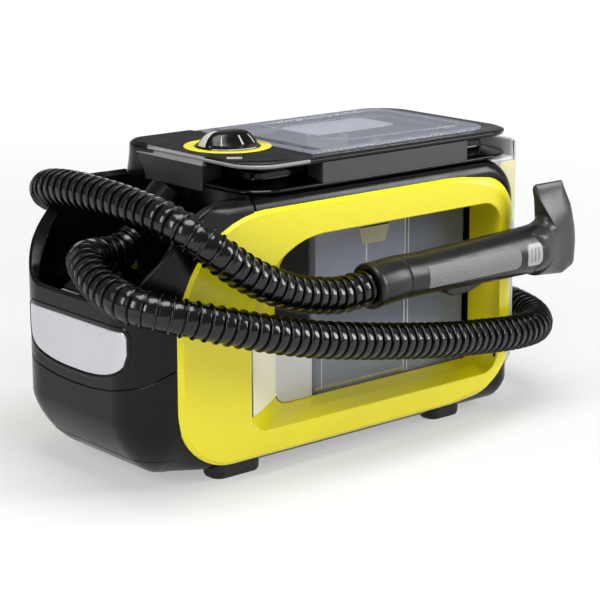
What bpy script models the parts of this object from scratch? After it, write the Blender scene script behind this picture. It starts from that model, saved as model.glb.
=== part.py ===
"""Battery spot extractor: a small spray-extraction cleaner with its hose wound round it.

Metres, +Z up, floor at Z = 0.  The machine stands along X: its nose, with the nameplate, looks
to -X and the clean-water tank is at the +X end.  The hand tool hangs on the -Y side.  The origin
is the middle of the footprint of the machine with its hand tool, so the machine's own middle
stands a little aside from it (MACHINE_X, MACHINE_Y).
"""
import math

import bmesh
import bpy
from mathutils import Matrix, Vector

# ---------------------------------------------------------------- driving dimensions (metres)
GAP = 0.0003                    # air between pieces that touch
WALL = 0.0025                   # injection-moulded wall

MACHINE_X = -0.0200             # machine middle, seen from the origin
MACHINE_Y = 0.0210

NOSE_X = -0.2150                # front face
BODY_REAR_X = 0.2085            # rear end of the black body
HALF_BODY = 0.0925              # half width of the black body behind the side frames
HALF_NOSE = 0.0950              # half width of the nose, flush with the side frames
FLOOR_Z = 0.0120                # underside of the base
FLOOR = 0.0030                  # thickness of its floor
SEAM_Z = 0.0940                 # parting line of base and upper housing
DECK_Z = 0.2360                 # top of the upper housing, under the rail
COCKPIT_X = -0.1055             # wall between the hose recess and the motor bay
COCKPIT_FLOOR_Z = 0.1010

FRAME_X = (-0.1825, 0.2075)     # yellow side frames
FRAME_Z = (0.0157, 0.2260)
FRAME_Y = 0.0980                # their outer plane
WINDOW_X = (-0.1080, 0.1850)    # outer edge of the window
WINDOW_Z = (0.0380, 0.1980)
INNER_WINDOW_X = (-0.0520, 0.1830)
INNER_WINDOW_Z = (0.0430, 0.1925)
WINDOW_DEPTH_Y = 0.0600         # plane of the window's inner edge

RAIL_X = (-0.1020, 0.2160)      # hose rail on top
RAIL_HALF = 0.0910
RAIL_Z = (0.2363, 0.2592)
LIP = 0.0030                    # thickness of the rail's two lips
GROOVE = 0.0130                 # depth of the groove between them

TANK_X = (-0.0085, 0.1825)      # dirty-water tank
TANK_HALF = 0.0575
TANK_Z = (0.0262, 0.2590)
LID_X = (-0.0075, 0.1910)
LID_HALF = 0.0780
LID_Z = (0.2595, 0.2620)

FRESH_X = (0.1888, 0.2280)      # clean-water tank
FRESH_HALF = 0.0760
FRESH_Z = (0.0300, 0.2325)
FRESH_NECK_X = 0.2195           # the thin upper part passes behind the rail
FRESH_TOP_Z = 0.2490
FRESH_HINGE = (0.2200, 0.0360)  # X and Z of its tilting foot
COUPLING_X = 0.1935             # water coupling under the clean-water tank
COUPLING_Y = -0.0300

DIAL_X = -0.0540
DIAL_RING = (0.0288, 0.0380)
DIAL_KNOB_R = 0.0278
DIAL_TOP_Z = 0.2740

HOSE_R = 0.0160                 # over the ribs
HOSE_VALLEY_R = 0.0136
HOSE_BORE_R = 0.0112
HOSE_RIBS = 174

TOOL_AT = (0.0, -0.1195, 0.1510)   # start of the cuff, in the machine's frame
TOOL_TILT = math.radians(4.5)      # the hand tool rises towards the rear
CUFF_R = 0.0190
HANDLE_U = (0.0500, 0.1960)        # along the hand tool
HEAD_HALF = 0.0120                 # half thickness of the nozzle head

ARC = 5                            # steps of a rounded corner

# The hose's route in the machine's frame, from the port to the hand tool's cuff.
HOSE_ROUTE = [
    (-0.1215, 0.015, 0.2115), (-0.133, 0.0155, 0.2005), (-0.1445, 0.016, 0.1895), (-0.162, 0.015, 0.1815),
    (-0.187, 0.010, 0.1830), (-0.207, -0.005, 0.1850), (-0.218, -0.027, 0.1810), (-0.2245, -0.055, 0.1735),
    (-0.225, -0.086, 0.1680),
    (-0.208, -0.112, 0.1610), (-0.179, -0.127, 0.1525), (-0.140, -0.1365, 0.1405), (-0.090, -0.141, 0.1265),
    (-0.032, -0.142, 0.1140), (0.030, -0.1395, 0.1025), (0.085, -0.135, 0.0930), (0.135, -0.1275, 0.0855),
    (0.185, -0.1195, 0.0790), (0.225, -0.106, 0.0755), (0.254, -0.077, 0.0750), (0.269, -0.040, 0.0760),
    (0.272, 0.000, 0.0785), (0.266, 0.044, 0.0840), (0.248, 0.083, 0.0930), (0.212, 0.1120, 0.1060),
    (0.158, 0.1215, 0.1220), (0.095, 0.1235, 0.1390), (0.020, 0.122, 0.1580), (-0.050, 0.122, 0.1770),
    (-0.100, 0.122, 0.1930), (-0.138, 0.120, 0.2070), (-0.165, 0.109, 0.2200), (-0.180, 0.086, 0.2290),
    (-0.185, 0.058, 0.2335), (-0.186, 0.028, 0.2350), (-0.186, 0.000, 0.2345), (-0.186, -0.028, 0.2335),
    (-0.1855, -0.052, 0.2315), (-0.183, -0.079, 0.2280), (-0.176, -0.1025, 0.2195), (-0.160, -0.118, 0.2040),
    (-0.138, -0.1215, 0.1870), (-0.112, -0.123, 0.1720), (-0.084, -0.1225, 0.1600), (-0.056, -0.121, 0.1530),
    (-0.032, -0.1198, 0.1490), (-0.016, -0.1195, 0.1497), (0.0, -0.1195, 0.1510),
]

# ---------------------------------------------------------------- scene and materials
for old in list(bpy.data.objects):
    bpy.data.objects.remove(old, do_unlink=True)


def collection(name):
    made = bpy.data.collections.new(name)
    bpy.context.scene.collection.children.link(made)
    return made


PARTS = collection("spot_extractor")
CUTTERS = collection("cutters")


def material(name, colour, roughness, metallic=0.0, alpha=1.0):
    made = bpy.data.materials.new(name)
    made.use_nodes = True
    shader = made.node_tree.nodes["Principled BSDF"]
    shader.inputs["Base Color"].default_value = (*colour, 1.0)
    shader.inputs["Roughness"].default_value = roughness
    shader.inputs["Metallic"].default_value = metallic
    shader.inputs["Alpha"].default_value = alpha
    made.diffuse_color = (*colour, alpha)
    return made


BLACK = material("black_plastic", (0.012, 0.012, 0.013), 0.25)
DARK = material("dark_grey_plastic", (0.045, 0.047, 0.046), 0.5)
YELLOW = material("yellow_plastic", (0.85, 0.76, 0.02), 0.3)
GREY = material("light_grey_plastic", (0.55, 0.56, 0.56), 0.45)
GRIP = material("grip_rubber", (0.26, 0.26, 0.26), 0.7)
SMOKE = material("smoke_plastic", (0.10, 0.12, 0.15), 0.1, alpha=0.5)
CLEAR = material("milky_plastic", (0.75, 0.77, 0.78), 0.35, alpha=0.5)
SILVER = material("nameplate_silver", (0.62, 0.62, 0.63), 0.3, 0.6)
STEEL = material("steel", (0.5, 0.5, 0.51), 0.3, 1.0)
RUBBER = material("black_rubber", (0.02, 0.02, 0.02), 0.8)
COPPER = material("copper", (0.7, 0.35, 0.18), 0.35, 1.0)
FOAM = material("filter_foam", (0.08, 0.09, 0.10), 0.95)
HOSE_BLACK = material("hose_black", (0.015, 0.015, 0.016), 0.3)
BOARD_GREEN = material("board_green", (0.02, 0.12, 0.05), 0.6)
LABEL_CREAM = material("label_cream", (0.85, 0.84, 0.6), 0.5)


def empty(name, place, parent=None, rotation=(0.0, 0.0, 0.0)):
    made = bpy.data.objects.new(name, None)
    PARTS.objects.link(made)
    made.location = place
    made.rotation_euler = rotation
    made.parent = parent
    return made


MACHINE = empty("machine", (MACHINE_X, MACHINE_Y, 0.0))
HAND_TOOL = empty("hand_tool", TOOL_AT, MACHINE, (0.0, -TOOL_TILT, 0.0))


# ---------------------------------------------------------------- shape helpers
def place(mesh, name, mat, parent, at=(0.0, 0.0, 0.0), into=None):
    """One object of the mesh, moved so that its origin is at the given point of its parent."""
    mesh.transform(Matrix.Translation(-Vector(at)))
    made = bpy.data.objects.new(name, mesh)
    (into or PARTS).objects.link(made)
    made.parent = parent
    made.location = at
    if mat:
        mesh.materials.clear()
        mesh.materials.append(mat)
    if into is CUTTERS:
        made.hide_render = True
        made.display_type = "WIRE"
    return made


def finish_mesh(bm, name, smooth=True):
    bmesh.ops.remove_doubles(bm, verts=bm.verts, dist=1e-6)
    bmesh.ops.recalc_face_normals(bm, faces=bm.faces)
    mesh = bpy.data.meshes.new(name)
    bm.to_mesh(mesh)
    bm.free()
    if smooth:
        mesh.shade_smooth()
        mesh.set_sharp_from_angle(angle=math.radians(35))
    return mesh


def rounded(corners, steps=ARC):
    """An outline from corners (x, y, radius): every corner becomes an arc of the same number of steps."""
    points = []
    count = len(corners)
    for i, (x, y, radius) in enumerate(corners):
        here = Vector((x, y))
        before = (Vector(corners[i - 1][:2]) - here).normalized()
        after = (Vector(corners[(i + 1) % count][:2]) - here).normalized()
        if radius <= 0.0:
            points.append((x, y))
            continue
        half = before.angle(after) / 2.0
        reach = radius / math.tan(half)
        centre = here + (before + after).normalized() * (radius / math.sin(half))
        start = here + before * reach - centre
        finish = here + after * reach - centre
        turn = math.atan2(start.cross(finish), start.dot(finish))
        for k in range(steps + 1):
            angle = turn * k / steps
            cos, sin = math.cos(angle), math.sin(angle)
            x = centre.x + start.x * cos - start.y * sin
            points.append((x, centre.y + start.x * sin + start.y * cos))
    return points


def rectangle(x_range, y_range, radius=0.0, radii=None, steps=ARC):
    """A rounded rectangle; radii go round from low-low, high-low, high-high, low-high."""
    r = radii or (radius,) * 4
    corners = [
        (x_range[0], y_range[0], r[0]),
        (x_range[1], y_range[0], r[1]),
        (x_range[1], y_range[1], r[2]),
        (x_range[0], y_range[1], r[3]),
    ]
    return rounded(corners, steps)


def sym(half):
    return (-half, half)


AXES = {
    "Z": Matrix.Identity(4),
    "Y": Matrix(((1, 0, 0, 0), (0, 0, -1, 0), (0, 1, 0, 0), (0, 0, 0, 1))),
    "X": Matrix(((0, 0, 1, 0), (1, 0, 0, 0), (0, 1, 0, 0), (0, 0, 0, 1))),
}


def prism_mesh(outline, span, axis="Z", name="prism"):
    """A flat outline given depth: XY outline along Z, XZ outline along Y, or YZ outline along X."""
    curve = bpy.data.curves.new(name, "CURVE")
    curve.dimensions = "2D"
    curve.fill_mode = "BOTH"
    curve.extrude = abs(span[1] - span[0]) / 2.0
    spline = curve.splines.new("POLY")
    spline.points.add(len(outline) - 1)
    for point, (x, y) in zip(spline.points, outline):
        point.co = (x, y, 0.0, 1.0)
    spline.use_cyclic_u = True
    holder = bpy.data.objects.new(name, curve)
    CUTTERS.objects.link(holder)
    bpy.context.view_layer.update()
    evaluated = holder.evaluated_get(bpy.context.evaluated_depsgraph_get())
    mesh = bpy.data.meshes.new_from_object(evaluated)
    bpy.data.objects.remove(holder, do_unlink=True)
    middle = (span[0] + span[1]) / 2.0
    shift = {"Z": (0, 0, middle), "Y": (0, middle, 0), "X": (middle, 0, 0)}[axis]
    mesh.transform(Matrix.Translation(shift) @ AXES[axis])
    bm = bmesh.new()
    bm.from_mesh(mesh)
    return finish_mesh(bm, name)


def prism(name, outline, span, mat, axis="Z", parent=MACHINE, at=(0.0, 0.0, 0.0)):
    return place(prism_mesh(outline, span, axis, name), name, mat, parent, at)


def box(name, low, high, mat, parent=MACHINE, at=(0.0, 0.0, 0.0), bevel=0.0, into=None):
    bm = bmesh.new()
    bmesh.ops.create_cube(bm, size=1.0)
    size = [h - l for l, h in zip(low, high)]
    middle = [(h + l) / 2.0 for l, h in zip(low, high)]
    bmesh.ops.transform(bm, matrix=Matrix.Translation(middle) @ Matrix.Diagonal((*size, 1.0)), verts=bm.verts)
    made = place(finish_mesh(bm, name, False), name, mat, parent, at, into)
    if bevel:
        soften(made, bevel)
    return made


def soften(made, width, segments=2, angle=40.0):
    bevel = made.modifiers.new("rounded_edges", "BEVEL")
    bevel.width = width
    bevel.segments = segments
    bevel.limit_method = "ANGLE"
    bevel.angle_limit = math.radians(angle)
    return made


def rod_mesh(name, start, end, radius, end_radius=None, sides=24):
    start, end = Vector(start), Vector(end)
    along = end - start
    bm = bmesh.new()
    bmesh.ops.create_cone(
        bm, cap_ends=True, cap_tris=False, segments=sides, radius1=radius,
        radius2=radius if end_radius is None else end_radius, depth=along.length,
    )
    turn = along.to_track_quat("Z", "Y").to_matrix().to_4x4()
    bmesh.ops.transform(bm, matrix=Matrix.Translation((start + end) / 2.0) @ turn, verts=bm.verts)
    return finish_mesh(bm, name)


def rod(name, start, end, radius, mat, end_radius=None, sides=24, parent=MACHINE, at=(0.0, 0.0, 0.0)):
    return place(rod_mesh(name, start, end, radius, end_radius, sides), name, mat, parent, at)


def turned(name, profile, mat, parent=MACHINE, at=(0.0, 0.0, 0.0), sides=32):
    """A closed profile of (radius, height) points, down the outer side first, turned about Z."""
    mesh = bpy.data.meshes.new(name)
    count = len(profile)
    edges = [(i, (i + 1) % count) for i in range(count)]
    if profile[0][0] == 0.0 and profile[-1][0] == 0.0:
        edges = edges[:-1]
    mesh.from_pydata([(r, 0.0, z) for r, z in profile], edges, [])
    made = place(mesh, name, mat, parent)
    made.location = at
    screw = made.modifiers.new("turn", "SCREW")
    screw.axis = "Z"
    screw.steps = sides
    screw.render_steps = sides
    screw.use_merge_vertices = True
    screw.merge_threshold = 0.0001
    screw.use_smooth_shade = False
    return made


def loft(name, sections, mat, parent=MACHINE, sides=20, power=2.6, at=(0.0, 0.0, 0.0)):
    """A body along X through rounded sections (x, centre z, half width, half height)."""
    bm = bmesh.new()
    rings = []
    for x, centre_z, half_y, half_z in sections:
        ring = []
        for k in range(sides):
            angle = 2.0 * math.pi * (k + 0.5) / sides
            cos, sin = math.cos(angle), math.sin(angle)
            y = half_y * math.copysign(abs(cos) ** (2.0 / power), cos)
            z = half_z * math.copysign(abs(sin) ** (2.0 / power), sin)
            ring.append(bm.verts.new((x, y, centre_z + z)))
        rings.append(ring)
    for lower, upper in zip(rings, rings[1:]):
        for k in range(sides):
            bm.faces.new((lower[k], lower[(k + 1) % sides], upper[(k + 1) % sides], upper[k]))
    bm.faces.new(list(reversed(rings[0])))
    bm.faces.new(rings[-1])
    return place(finish_mesh(bm, name), name, mat, parent, at)


def boolean(target, mesh, operation="DIFFERENCE", parent=None):
    """Cuts the mesh from the target, or joins it on, with a hidden cutter."""
    cutter = place(mesh, f"{target.name}_{operation.lower()}", None, parent or target.parent, into=CUTTERS)
    step = target.modifiers.new(cutter.name, "BOOLEAN")
    step.operation = operation
    step.object = cutter
    step.solver = "EXACT"
    return target


def block_mesh(low, high):
    bm = bmesh.new()
    bmesh.ops.create_cube(bm, size=1.0)
    size = [h - l for l, h in zip(low, high)]
    middle = [(h + l) / 2.0 for l, h in zip(low, high)]
    bmesh.ops.transform(bm, matrix=Matrix.Translation(middle) @ Matrix.Diagonal((*size, 1.0)), verts=bm.verts)
    return finish_mesh(bm, "block", False)


def tube(name, points, radius, mat, parent=MACHINE, resolution=2):
    """A round tube along the points, with closed ends; radius is one value or one per point."""
    curve = bpy.data.curves.new(name, "CURVE")
    curve.dimensions = "3D"
    curve.bevel_depth = 1.0
    curve.bevel_resolution = resolution
    curve.use_fill_caps = True
    curve.twist_mode = "MINIMUM"
    spline = curve.splines.new("POLY")
    spline.points.add(len(points) - 1)
    radii = radius if isinstance(radius, list) else [radius] * len(points)
    for point, co, r in zip(spline.points, points, radii):
        point.co = (*co, 1.0)
        point.radius = r
    curve.materials.append(mat)
    made = bpy.data.objects.new(name, curve)
    PARTS.objects.link(made)
    made.parent = parent
    return made


def curve_to_mesh(holder):
    """The curve object as a welded mesh in its parent's frame; the curve is removed."""
    bpy.context.view_layer.update()
    evaluated = holder.evaluated_get(bpy.context.evaluated_depsgraph_get())
    mesh = bpy.data.meshes.new_from_object(evaluated)
    bpy.data.objects.remove(holder, do_unlink=True)
    bm = bmesh.new()
    bm.from_mesh(mesh)
    bmesh.ops.remove_doubles(bm, verts=bm.verts, dist=1e-6)
    bmesh.ops.recalc_face_normals(bm, faces=bm.faces)
    bm.to_mesh(mesh)
    bm.free()
    return mesh


def smooth_path(route, count):
    """Evenly spaced points on a cubic curve through the route's points."""
    dense = []
    total = len(route)
    for i in range(total - 1):
        p0 = Vector(route[max(i - 1, 0)])
        p1 = Vector(route[i])
        p2 = Vector(route[i + 1])
        p3 = Vector(route[min(i + 2, total - 1)])
        chord = (p2 - p1).length
        tangent1 = (p2 - p0) / max((p2 - p1).length + (p1 - p0).length, 1e-9) * chord
        tangent2 = (p3 - p1) / max((p3 - p2).length + (p2 - p1).length, 1e-9) * chord
        for k in range(24):
            t = k / 24.0
            t2, t3 = t * t, t * t * t
            dense.append(
                p1 * (2 * t3 - 3 * t2 + 1) + tangent1 * (t3 - 2 * t2 + t)
                + p2 * (-2 * t3 + 3 * t2) + tangent2 * (t3 - t2)
            )
    dense.append(Vector(route[-1]))
    lengths = [0.0]
    for a, b in zip(dense, dense[1:]):
        lengths.append(lengths[-1] + (b - a).length)
    step = lengths[-1] / (count - 1)
    points = []
    k = 0
    for i in range(count):
        want = min(step * i, lengths[-1])
        while k < len(lengths) - 2 and lengths[k + 1] < want:
            k += 1
        part = (want - lengths[k]) / max(lengths[k + 1] - lengths[k], 1e-12)
        points.append(dense[k].lerp(dense[k + 1], part))
    return points, lengths[-1]


# ---------------------------------------------------------------- base and housings
def nose_plan(inset=0.0, rear_x=BODY_REAR_X, half=HALF_NOSE):
    """Plan outline of the body: a wide rounded nose, square behind."""
    radius = 0.045 - inset
    return rectangle(
        (NOSE_X + inset, rear_x - inset), sym(half - inset), radii=(radius, 0.012, 0.012, radius), steps=7)


def side_profile(top_z, inset=0.0):
    """Side outline of the body: belly rounded at the front and the rear."""
    low_z = FLOOR_Z + inset
    return rounded([
        (NOSE_X + inset, low_z, 0.048 - inset),
        (BODY_REAR_X - inset, low_z, 0.040 - inset),
        (BODY_REAR_X - inset, top_z, 0.0),
        (NOSE_X + inset, top_z, 0.0),
    ], 7)


def make_base():
    """Tub under everything: floor, belly walls, the two rails that carry the dirty-water tank."""
    made = prism("base_tub", side_profile(SEAM_Z), sym(0.096), BLACK, "Y")
    boolean(made, prism_mesh(nose_plan(), (0.0, 0.12)), "INTERSECT")
    inner = prism_mesh(side_profile(0.12, FLOOR), sym(HALF_NOSE - 0.0055), "Y")
    hollow = place(inner, "base_hollow", None, MACHINE, into=CUTTERS)
    boolean(hollow, prism_mesh(rectangle(
        (NOSE_X + 0.003, BODY_REAR_X - 0.006), sym(HALF_NOSE - 0.0055),
        radii=(0.042, 0.01, 0.01, 0.042), steps=7),
        (0.0, 0.13)), "INTERSECT")
    step = made.modifiers.new("hollow", "BOOLEAN")
    step.operation = "DIFFERENCE"
    step.object = hollow
    step.solver = "EXACT"
    boolean(made, block_mesh((0.1875, -0.0785, FRESH_Z[0] - 0.0022), (0.25, 0.0785, 0.12)))
    for side in (-1, 1):
        rail = block_mesh(
            (0.0, side * 0.046 - 0.0015, FLOOR_Z + 0.002), (0.170, side * 0.046 + 0.0015, TANK_Z[0] - GAP))
        boolean(made, rail, "UNION")
    clear = 0.0035
    for side in (-1, 1):
        tunnel = rectangle(
            (WINDOW_X[0] - clear, WINDOW_X[1] + clear), (WINDOW_Z[0] - clear, 0.12),
            radii=(0.018, 0.018, 0, 0))
        boolean(made, prism_mesh(tunnel, (side * 0.060, side * 0.12), "Y"))
    rebate(made)
    return made


def frame_outline(grow=0.0):
    return rectangle(
        (FRAME_X[0] - grow, FRAME_X[1] + grow), (FRAME_Z[0] - grow, FRAME_Z[1] + grow),
        radii=(0.055, 0.048, 0.042, 0.092), steps=8)


def rebate(made):
    """Steps both sides back behind the side frames."""
    for side in (-1, 1):
        boolean(made, prism_mesh(frame_outline(GAP), (side * HALF_BODY, side * 0.12), "Y"))


def make_front_housing():
    """Nose over the parting line, with the open hose recess and the wall behind it."""
    made = prism("front_housing", nose_plan(rear_x=COCKPIT_X), (SEAM_Z + GAP, 0.2405), BLACK)
    above_rim = [
        (-0.30, 0.30), (-0.30, 0.1560), (-0.2120, 0.1560), (-0.2060, 0.1690), (-0.1900, 0.1862),
        (-0.1800, 0.1950), (-0.1700, 0.2040), (-0.1570, 0.2190), (-0.1430, 0.2315), (-0.1180, DECK_Z - GAP),
        (-0.05, DECK_Z - GAP), (-0.05, 0.30),
    ]
    boolean(made, prism_mesh(above_rim, sym(0.12), "Y"))
    recess = rectangle(
        (NOSE_X + 0.0045, COCKPIT_X - 0.003), sym(HALF_NOSE - 0.0045), radii=(0.0405, 0.008, 0.008, 0.0405))
    boolean(made, prism_mesh(recess, (COCKPIT_FLOOR_Z, 0.30)))
    under = rectangle(
        (NOSE_X + 0.0045, COCKPIT_X + 0.02), sym(HALF_NOSE - 0.0045), radii=(0.0405, 0, 0, 0.0405))
    boolean(made, prism_mesh(under, (0.05, COCKPIT_FLOOR_Z - 0.003)))
    boolean(made, rod_mesh("air_way", PORT_OUT, PORT_IN, 0.0105, sides=16))
    rebate(made)
    boolean(made, nameplate_seat())
    return made


def make_upper_shell():
    """Shell over the motor bay and the tank bay, open below and at the rear."""
    outer = rounded([
        (COCKPIT_X + GAP, SEAM_Z + GAP, 0.0), (BODY_REAR_X, SEAM_Z + GAP, 0.0),
        (BODY_REAR_X, DECK_Z - GAP, 0.040), (COCKPIT_X + GAP, DECK_Z - GAP, 0.0)], 6)
    inner = rounded([
        (COCKPIT_X + GAP + WALL, SEAM_Z - 0.01, 0.0), (BODY_REAR_X - WALL, SEAM_Z - 0.01, 0.0),
        (BODY_REAR_X - WALL, DECK_Z - GAP - WALL, 0.0375),
        (COCKPIT_X + GAP + WALL, DECK_Z - GAP - WALL, 0.0)], 6)
    made = prism("upper_shell", outer, sym(HALF_BODY), BLACK, "Y")
    boolean(made, prism_mesh(inner, sym(HALF_BODY - WALL), "Y"))
    margin = 0.0035
    window = rectangle(
        (COCKPIT_X - 0.01, WINDOW_X[1] + margin), (WINDOW_Z[0] - margin, WINDOW_Z[1] + margin),
        radii=(0.02, 0.022, 0.024, 0.082))
    boolean(made, prism_mesh(window, sym(0.12), "Y"))
    margin = 0.0030
    boolean(made, block_mesh(
        (TANK_X[0] - margin, -TANK_HALF - margin, 0.20), (TANK_X[1] + margin, TANK_HALF + margin, 0.30)))
    boolean(made, block_mesh((0.1875, -0.0785, 0.05), (0.25, 0.0785, FRESH_Z[1] + 0.0004)))
    boolean(made, rod_mesh("air_way", PORT_OUT, PORT_IN, 0.0130, sides=16))
    boolean(made, rod_mesh("dial_spindle_hole", (DIAL_X, 0, 0.20), (DIAL_X, 0, 0.26), 0.0060, sides=16))
    return made


def make_bulkheads():
    """Walls across the body before and behind the dirty-water tank, and the motor bay's two liners."""
    x = x_bulkhead = TANK_X[0] - 0.0050
    wall = 0.0020
    top = DECK_Z - 0.0040
    bulkhead = box("motor_bulkhead", (x, -TANK_HALF, 0.0240), (x + wall, TANK_HALF, top), BLACK)
    boolean(bulkhead, rod_mesh("duct_hole", (x - 0.01, DUCT_Y, DUCT_Z), (x + 0.01, DUCT_Y, DUCT_Z), 0.0110))
    x = TANK_X[1] + 0.0023
    box("tank_partition", (x, -TANK_HALF, 0.0292), (x + wall, TANK_HALF, 0.2270), BLACK)
    for name, side in (("near", -1), ("far", 1)):
        y = sorted((side * 0.0562, side * 0.0576))
        box(f"bay_liner_{name}", (-0.0960, y[0], 0.0300), (x_bulkhead - GAP, y[1], top), BLACK)


# ---------------------------------------------------------------- side frames
def frame_loop(outline, y):
    return [Vector((x, y, z)) for x, z in outline]


def make_side_frame(name, side):
    """Yellow frame: a face with a chamfered edge and a deep sloping tunnel down to the window."""
    face_edge = rectangle(
        (FRAME_X[0] + 0.004, FRAME_X[1] - 0.010), (FRAME_Z[0] + 0.003, FRAME_Z[1] - 0.002),
        radii=(0.051, 0.044, 0.036, 0.090), steps=8)
    window = rectangle(WINDOW_X, WINDOW_Z, radii=(0.018, 0.020, 0.022, 0.080), steps=8)
    inner_window = rectangle(INNER_WINDOW_X, INNER_WINDOW_Z, radii=(0.012, 0.006, 0.006, 0.050), steps=8)
    loops = [
        frame_loop(frame_outline(), FRAME_Y - 0.0028),
        frame_loop(face_edge, FRAME_Y),
        frame_loop(window, FRAME_Y),
        frame_loop(inner_window, WINDOW_DEPTH_Y),
    ]
    bm = bmesh.new()
    rings = [[bm.verts.new((p.x, side * p.y, p.z)) for p in loop] for loop in loops]
    count = len(rings[0])
    for a, b in zip(rings, rings[1:]):
        for k in range(count):
            bm.faces.new((a[k], a[(k + 1) % count], b[(k + 1) % count], b[k]))
    bmesh.ops.recalc_face_normals(bm, faces=bm.faces)
    if sum(f.normal.y * f.calc_area() for f in bm.faces) * side < 0:
        bmesh.ops.reverse_faces(bm, faces=bm.faces)
    mesh = bpy.data.meshes.new(name)
    bm.to_mesh(mesh)
    bm.free()
    made = place(mesh, name, YELLOW, MACHINE)
    shell = made.modifiers.new("wall", "SOLIDIFY")
    shell.thickness = 0.0024
    shell.offset = -1.0
    return made


def make_side_parts():
    for name, side in (("near", -1), ("far", 1)):
        make_side_frame(f"side_frame_{name}", side)
        plate_y = sorted((side * 0.0597, side * 0.0609))
        outline = rectangle((-0.0485, -0.0105), (0.0465, 0.0960), radii=(0.014, 0.001, 0.001, 0.001))
        prism(f"label_plate_{name}", outline, plate_y, GREY, "Y")


# ---------------------------------------------------------------- rail, platform and dial
def rail_plan(inset=0.0):
    return rectangle(
        (RAIL_X[0] + inset, RAIL_X[1] - inset), sym(RAIL_HALF - inset),
        radii=(0.030 - inset / 2, 0.037 - inset / 2, 0.037 - inset / 2, 0.030 - inset / 2), steps=6)


def make_rail():
    """Deck round the tank with two lips and the hose groove between them, dial platform in front."""
    z0, z1 = RAIL_Z
    made = prism("top_rail", rail_plan(), (z0, z0 + LIP), BLACK)
    boolean(made, prism_mesh(rail_plan(GROOVE), (z0 + 0.0005, z1 - 0.0005)), "UNION")
    boolean(made, prism_mesh(rail_plan(), (z1 - LIP, z1)), "UNION")
    opening = rectangle((TANK_X[0] - 0.0025, TANK_X[1] + 0.0015), sym(TANK_HALF + 0.0025), 0.010)
    boolean(made, prism_mesh(opening, (0.20, 0.30)))
    slot = rectangle((0.1925, 0.2060 - 0.0025), sym(0.0420), 0.004)
    boolean(made, prism_mesh(slot, (0.20, 0.30)))
    pocket = rectangle((RAIL_X[0] + 0.017, TANK_X[0] - 0.0060), sym(RAIL_HALF - 0.018), 0.006)
    boolean(made, prism_mesh(pocket, (0.20, z1 - LIP)))
    seat = rod_mesh("dial_seat", (DIAL_X, 0, z1 - 0.0015), (DIAL_X, 0, 0.28), DIAL_RING[1] + GAP, sides=40)
    boolean(made, seat)
    boolean(made, rod_mesh("spindle_hole", (DIAL_X, 0, 0.20), (DIAL_X, 0, 0.28), 0.0053, sides=16))
    return made


def make_rail_panels():
    z_span = (RAIL_Z[0] + LIP + GAP, RAIL_Z[1] - LIP - GAP)
    depth = GROOVE - GAP
    box("rail_panel_front", (RAIL_X[0], -0.0290, z_span[0]), (RAIL_X[0] + depth, 0.0470, z_span[1]), DARK)
    for name, side in (("near", -1), ("far", 1)):
        y = sorted((side * RAIL_HALF, side * (RAIL_HALF - depth)))
        box(f"rail_panel_{name}", (-0.0250, y[0], z_span[0]), (0.1500, y[1], z_span[1]), DARK)


def make_dial():
    seat_z = RAIL_Z[1] - 0.0015
    inner, outer = DIAL_RING
    turned("dial_ring", [
        (outer, seat_z + 0.0030), (outer, seat_z + GAP), (inner, seat_z + GAP), (inner, seat_z + 0.0030)],
        YELLOW, at=(DIAL_X, 0.0, 0.0), sides=40)
    disc_z = seat_z + GAP
    knob = turned("dial_knob", [
        (0.0, disc_z + 0.0030), (DIAL_KNOB_R, disc_z + 0.0022), (DIAL_KNOB_R, disc_z), (0.0050, disc_z),
        (0.0050, DECK_Z - 0.0080), (0.0, DECK_Z - 0.0080)], BLACK, at=(DIAL_X, 0.0, 0.0), sides=32)
    grip = prism_mesh(rounded([
        (-0.0245, disc_z + 0.001, 0.0), (0.0245, disc_z + 0.001, 0.0), (0.0190, DIAL_TOP_Z, 0.006),
        (-0.0185, DIAL_TOP_Z, 0.006)], 4), (-0.0075, 0.0075), "Y")
    boolean(knob, grip, "UNION", knob)
    box("index_mark", (-0.0790, -0.0500, RAIL_Z[1] + GAP), (-0.0680, -0.0430, RAIL_Z[1] + GAP + 0.0008), GREY)
    return knob


# ---------------------------------------------------------------- nose details
def nameplate_outline(grow=0.0):
    """D shape in YZ: a straight top and a long curved bottom."""
    half = 0.0560 + grow
    top = 0.1370 + grow
    points = [(half, top), (-half, top)]
    for k in range(13):
        angle = math.pi * (1.0 + k / 12.0)
        points.append((half * math.cos(angle), 0.1120 + (0.0150 + grow) * math.sin(angle)))
    return points


def nameplate_seat():
    return prism_mesh(nameplate_outline(0.0030 + GAP), (NOSE_X - 0.01, NOSE_X + 0.0020), "X")


def make_nose_details():
    depth = (NOSE_X - 0.0006, NOSE_X + 0.0017)
    bezel = prism("nameplate_bezel", nameplate_outline(0.0030), depth, BLACK, "X")
    boolean(bezel, prism_mesh(nameplate_outline(GAP), (NOSE_X - 0.01, NOSE_X + 0.0005), "X"))
    prism("nameplate", nameplate_outline(), (NOSE_X - 0.0008, NOSE_X + 0.0002), SILVER, "X")
    box("recess_mark_front", (-0.2146, -0.0030, 0.1560 + GAP), (-0.2120, 0.0220, 0.1572), GREY)
    rod("recess_mark_side", (-0.2008, -0.0805, 0.1770), (-0.1925, -0.0858, 0.1859), 0.0011, GREY, sides=10)
    for name, x, half_x, half_y in (("front", -0.1120, 0.0250, 0.0120), ("rear", 0.1330, 0.0190, 0.0110)):
        for side_name, side in (("near", -1), ("far", 1)):
            y = side * 0.0740
            foot = rectangle((x - half_x, x + half_x), (y - half_y, y + half_y), 0.0085, steps=4)
            prism(f"foot_{name}_{side_name}", foot, (0.0, FLOOR_Z - GAP), RUBBER)


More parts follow.
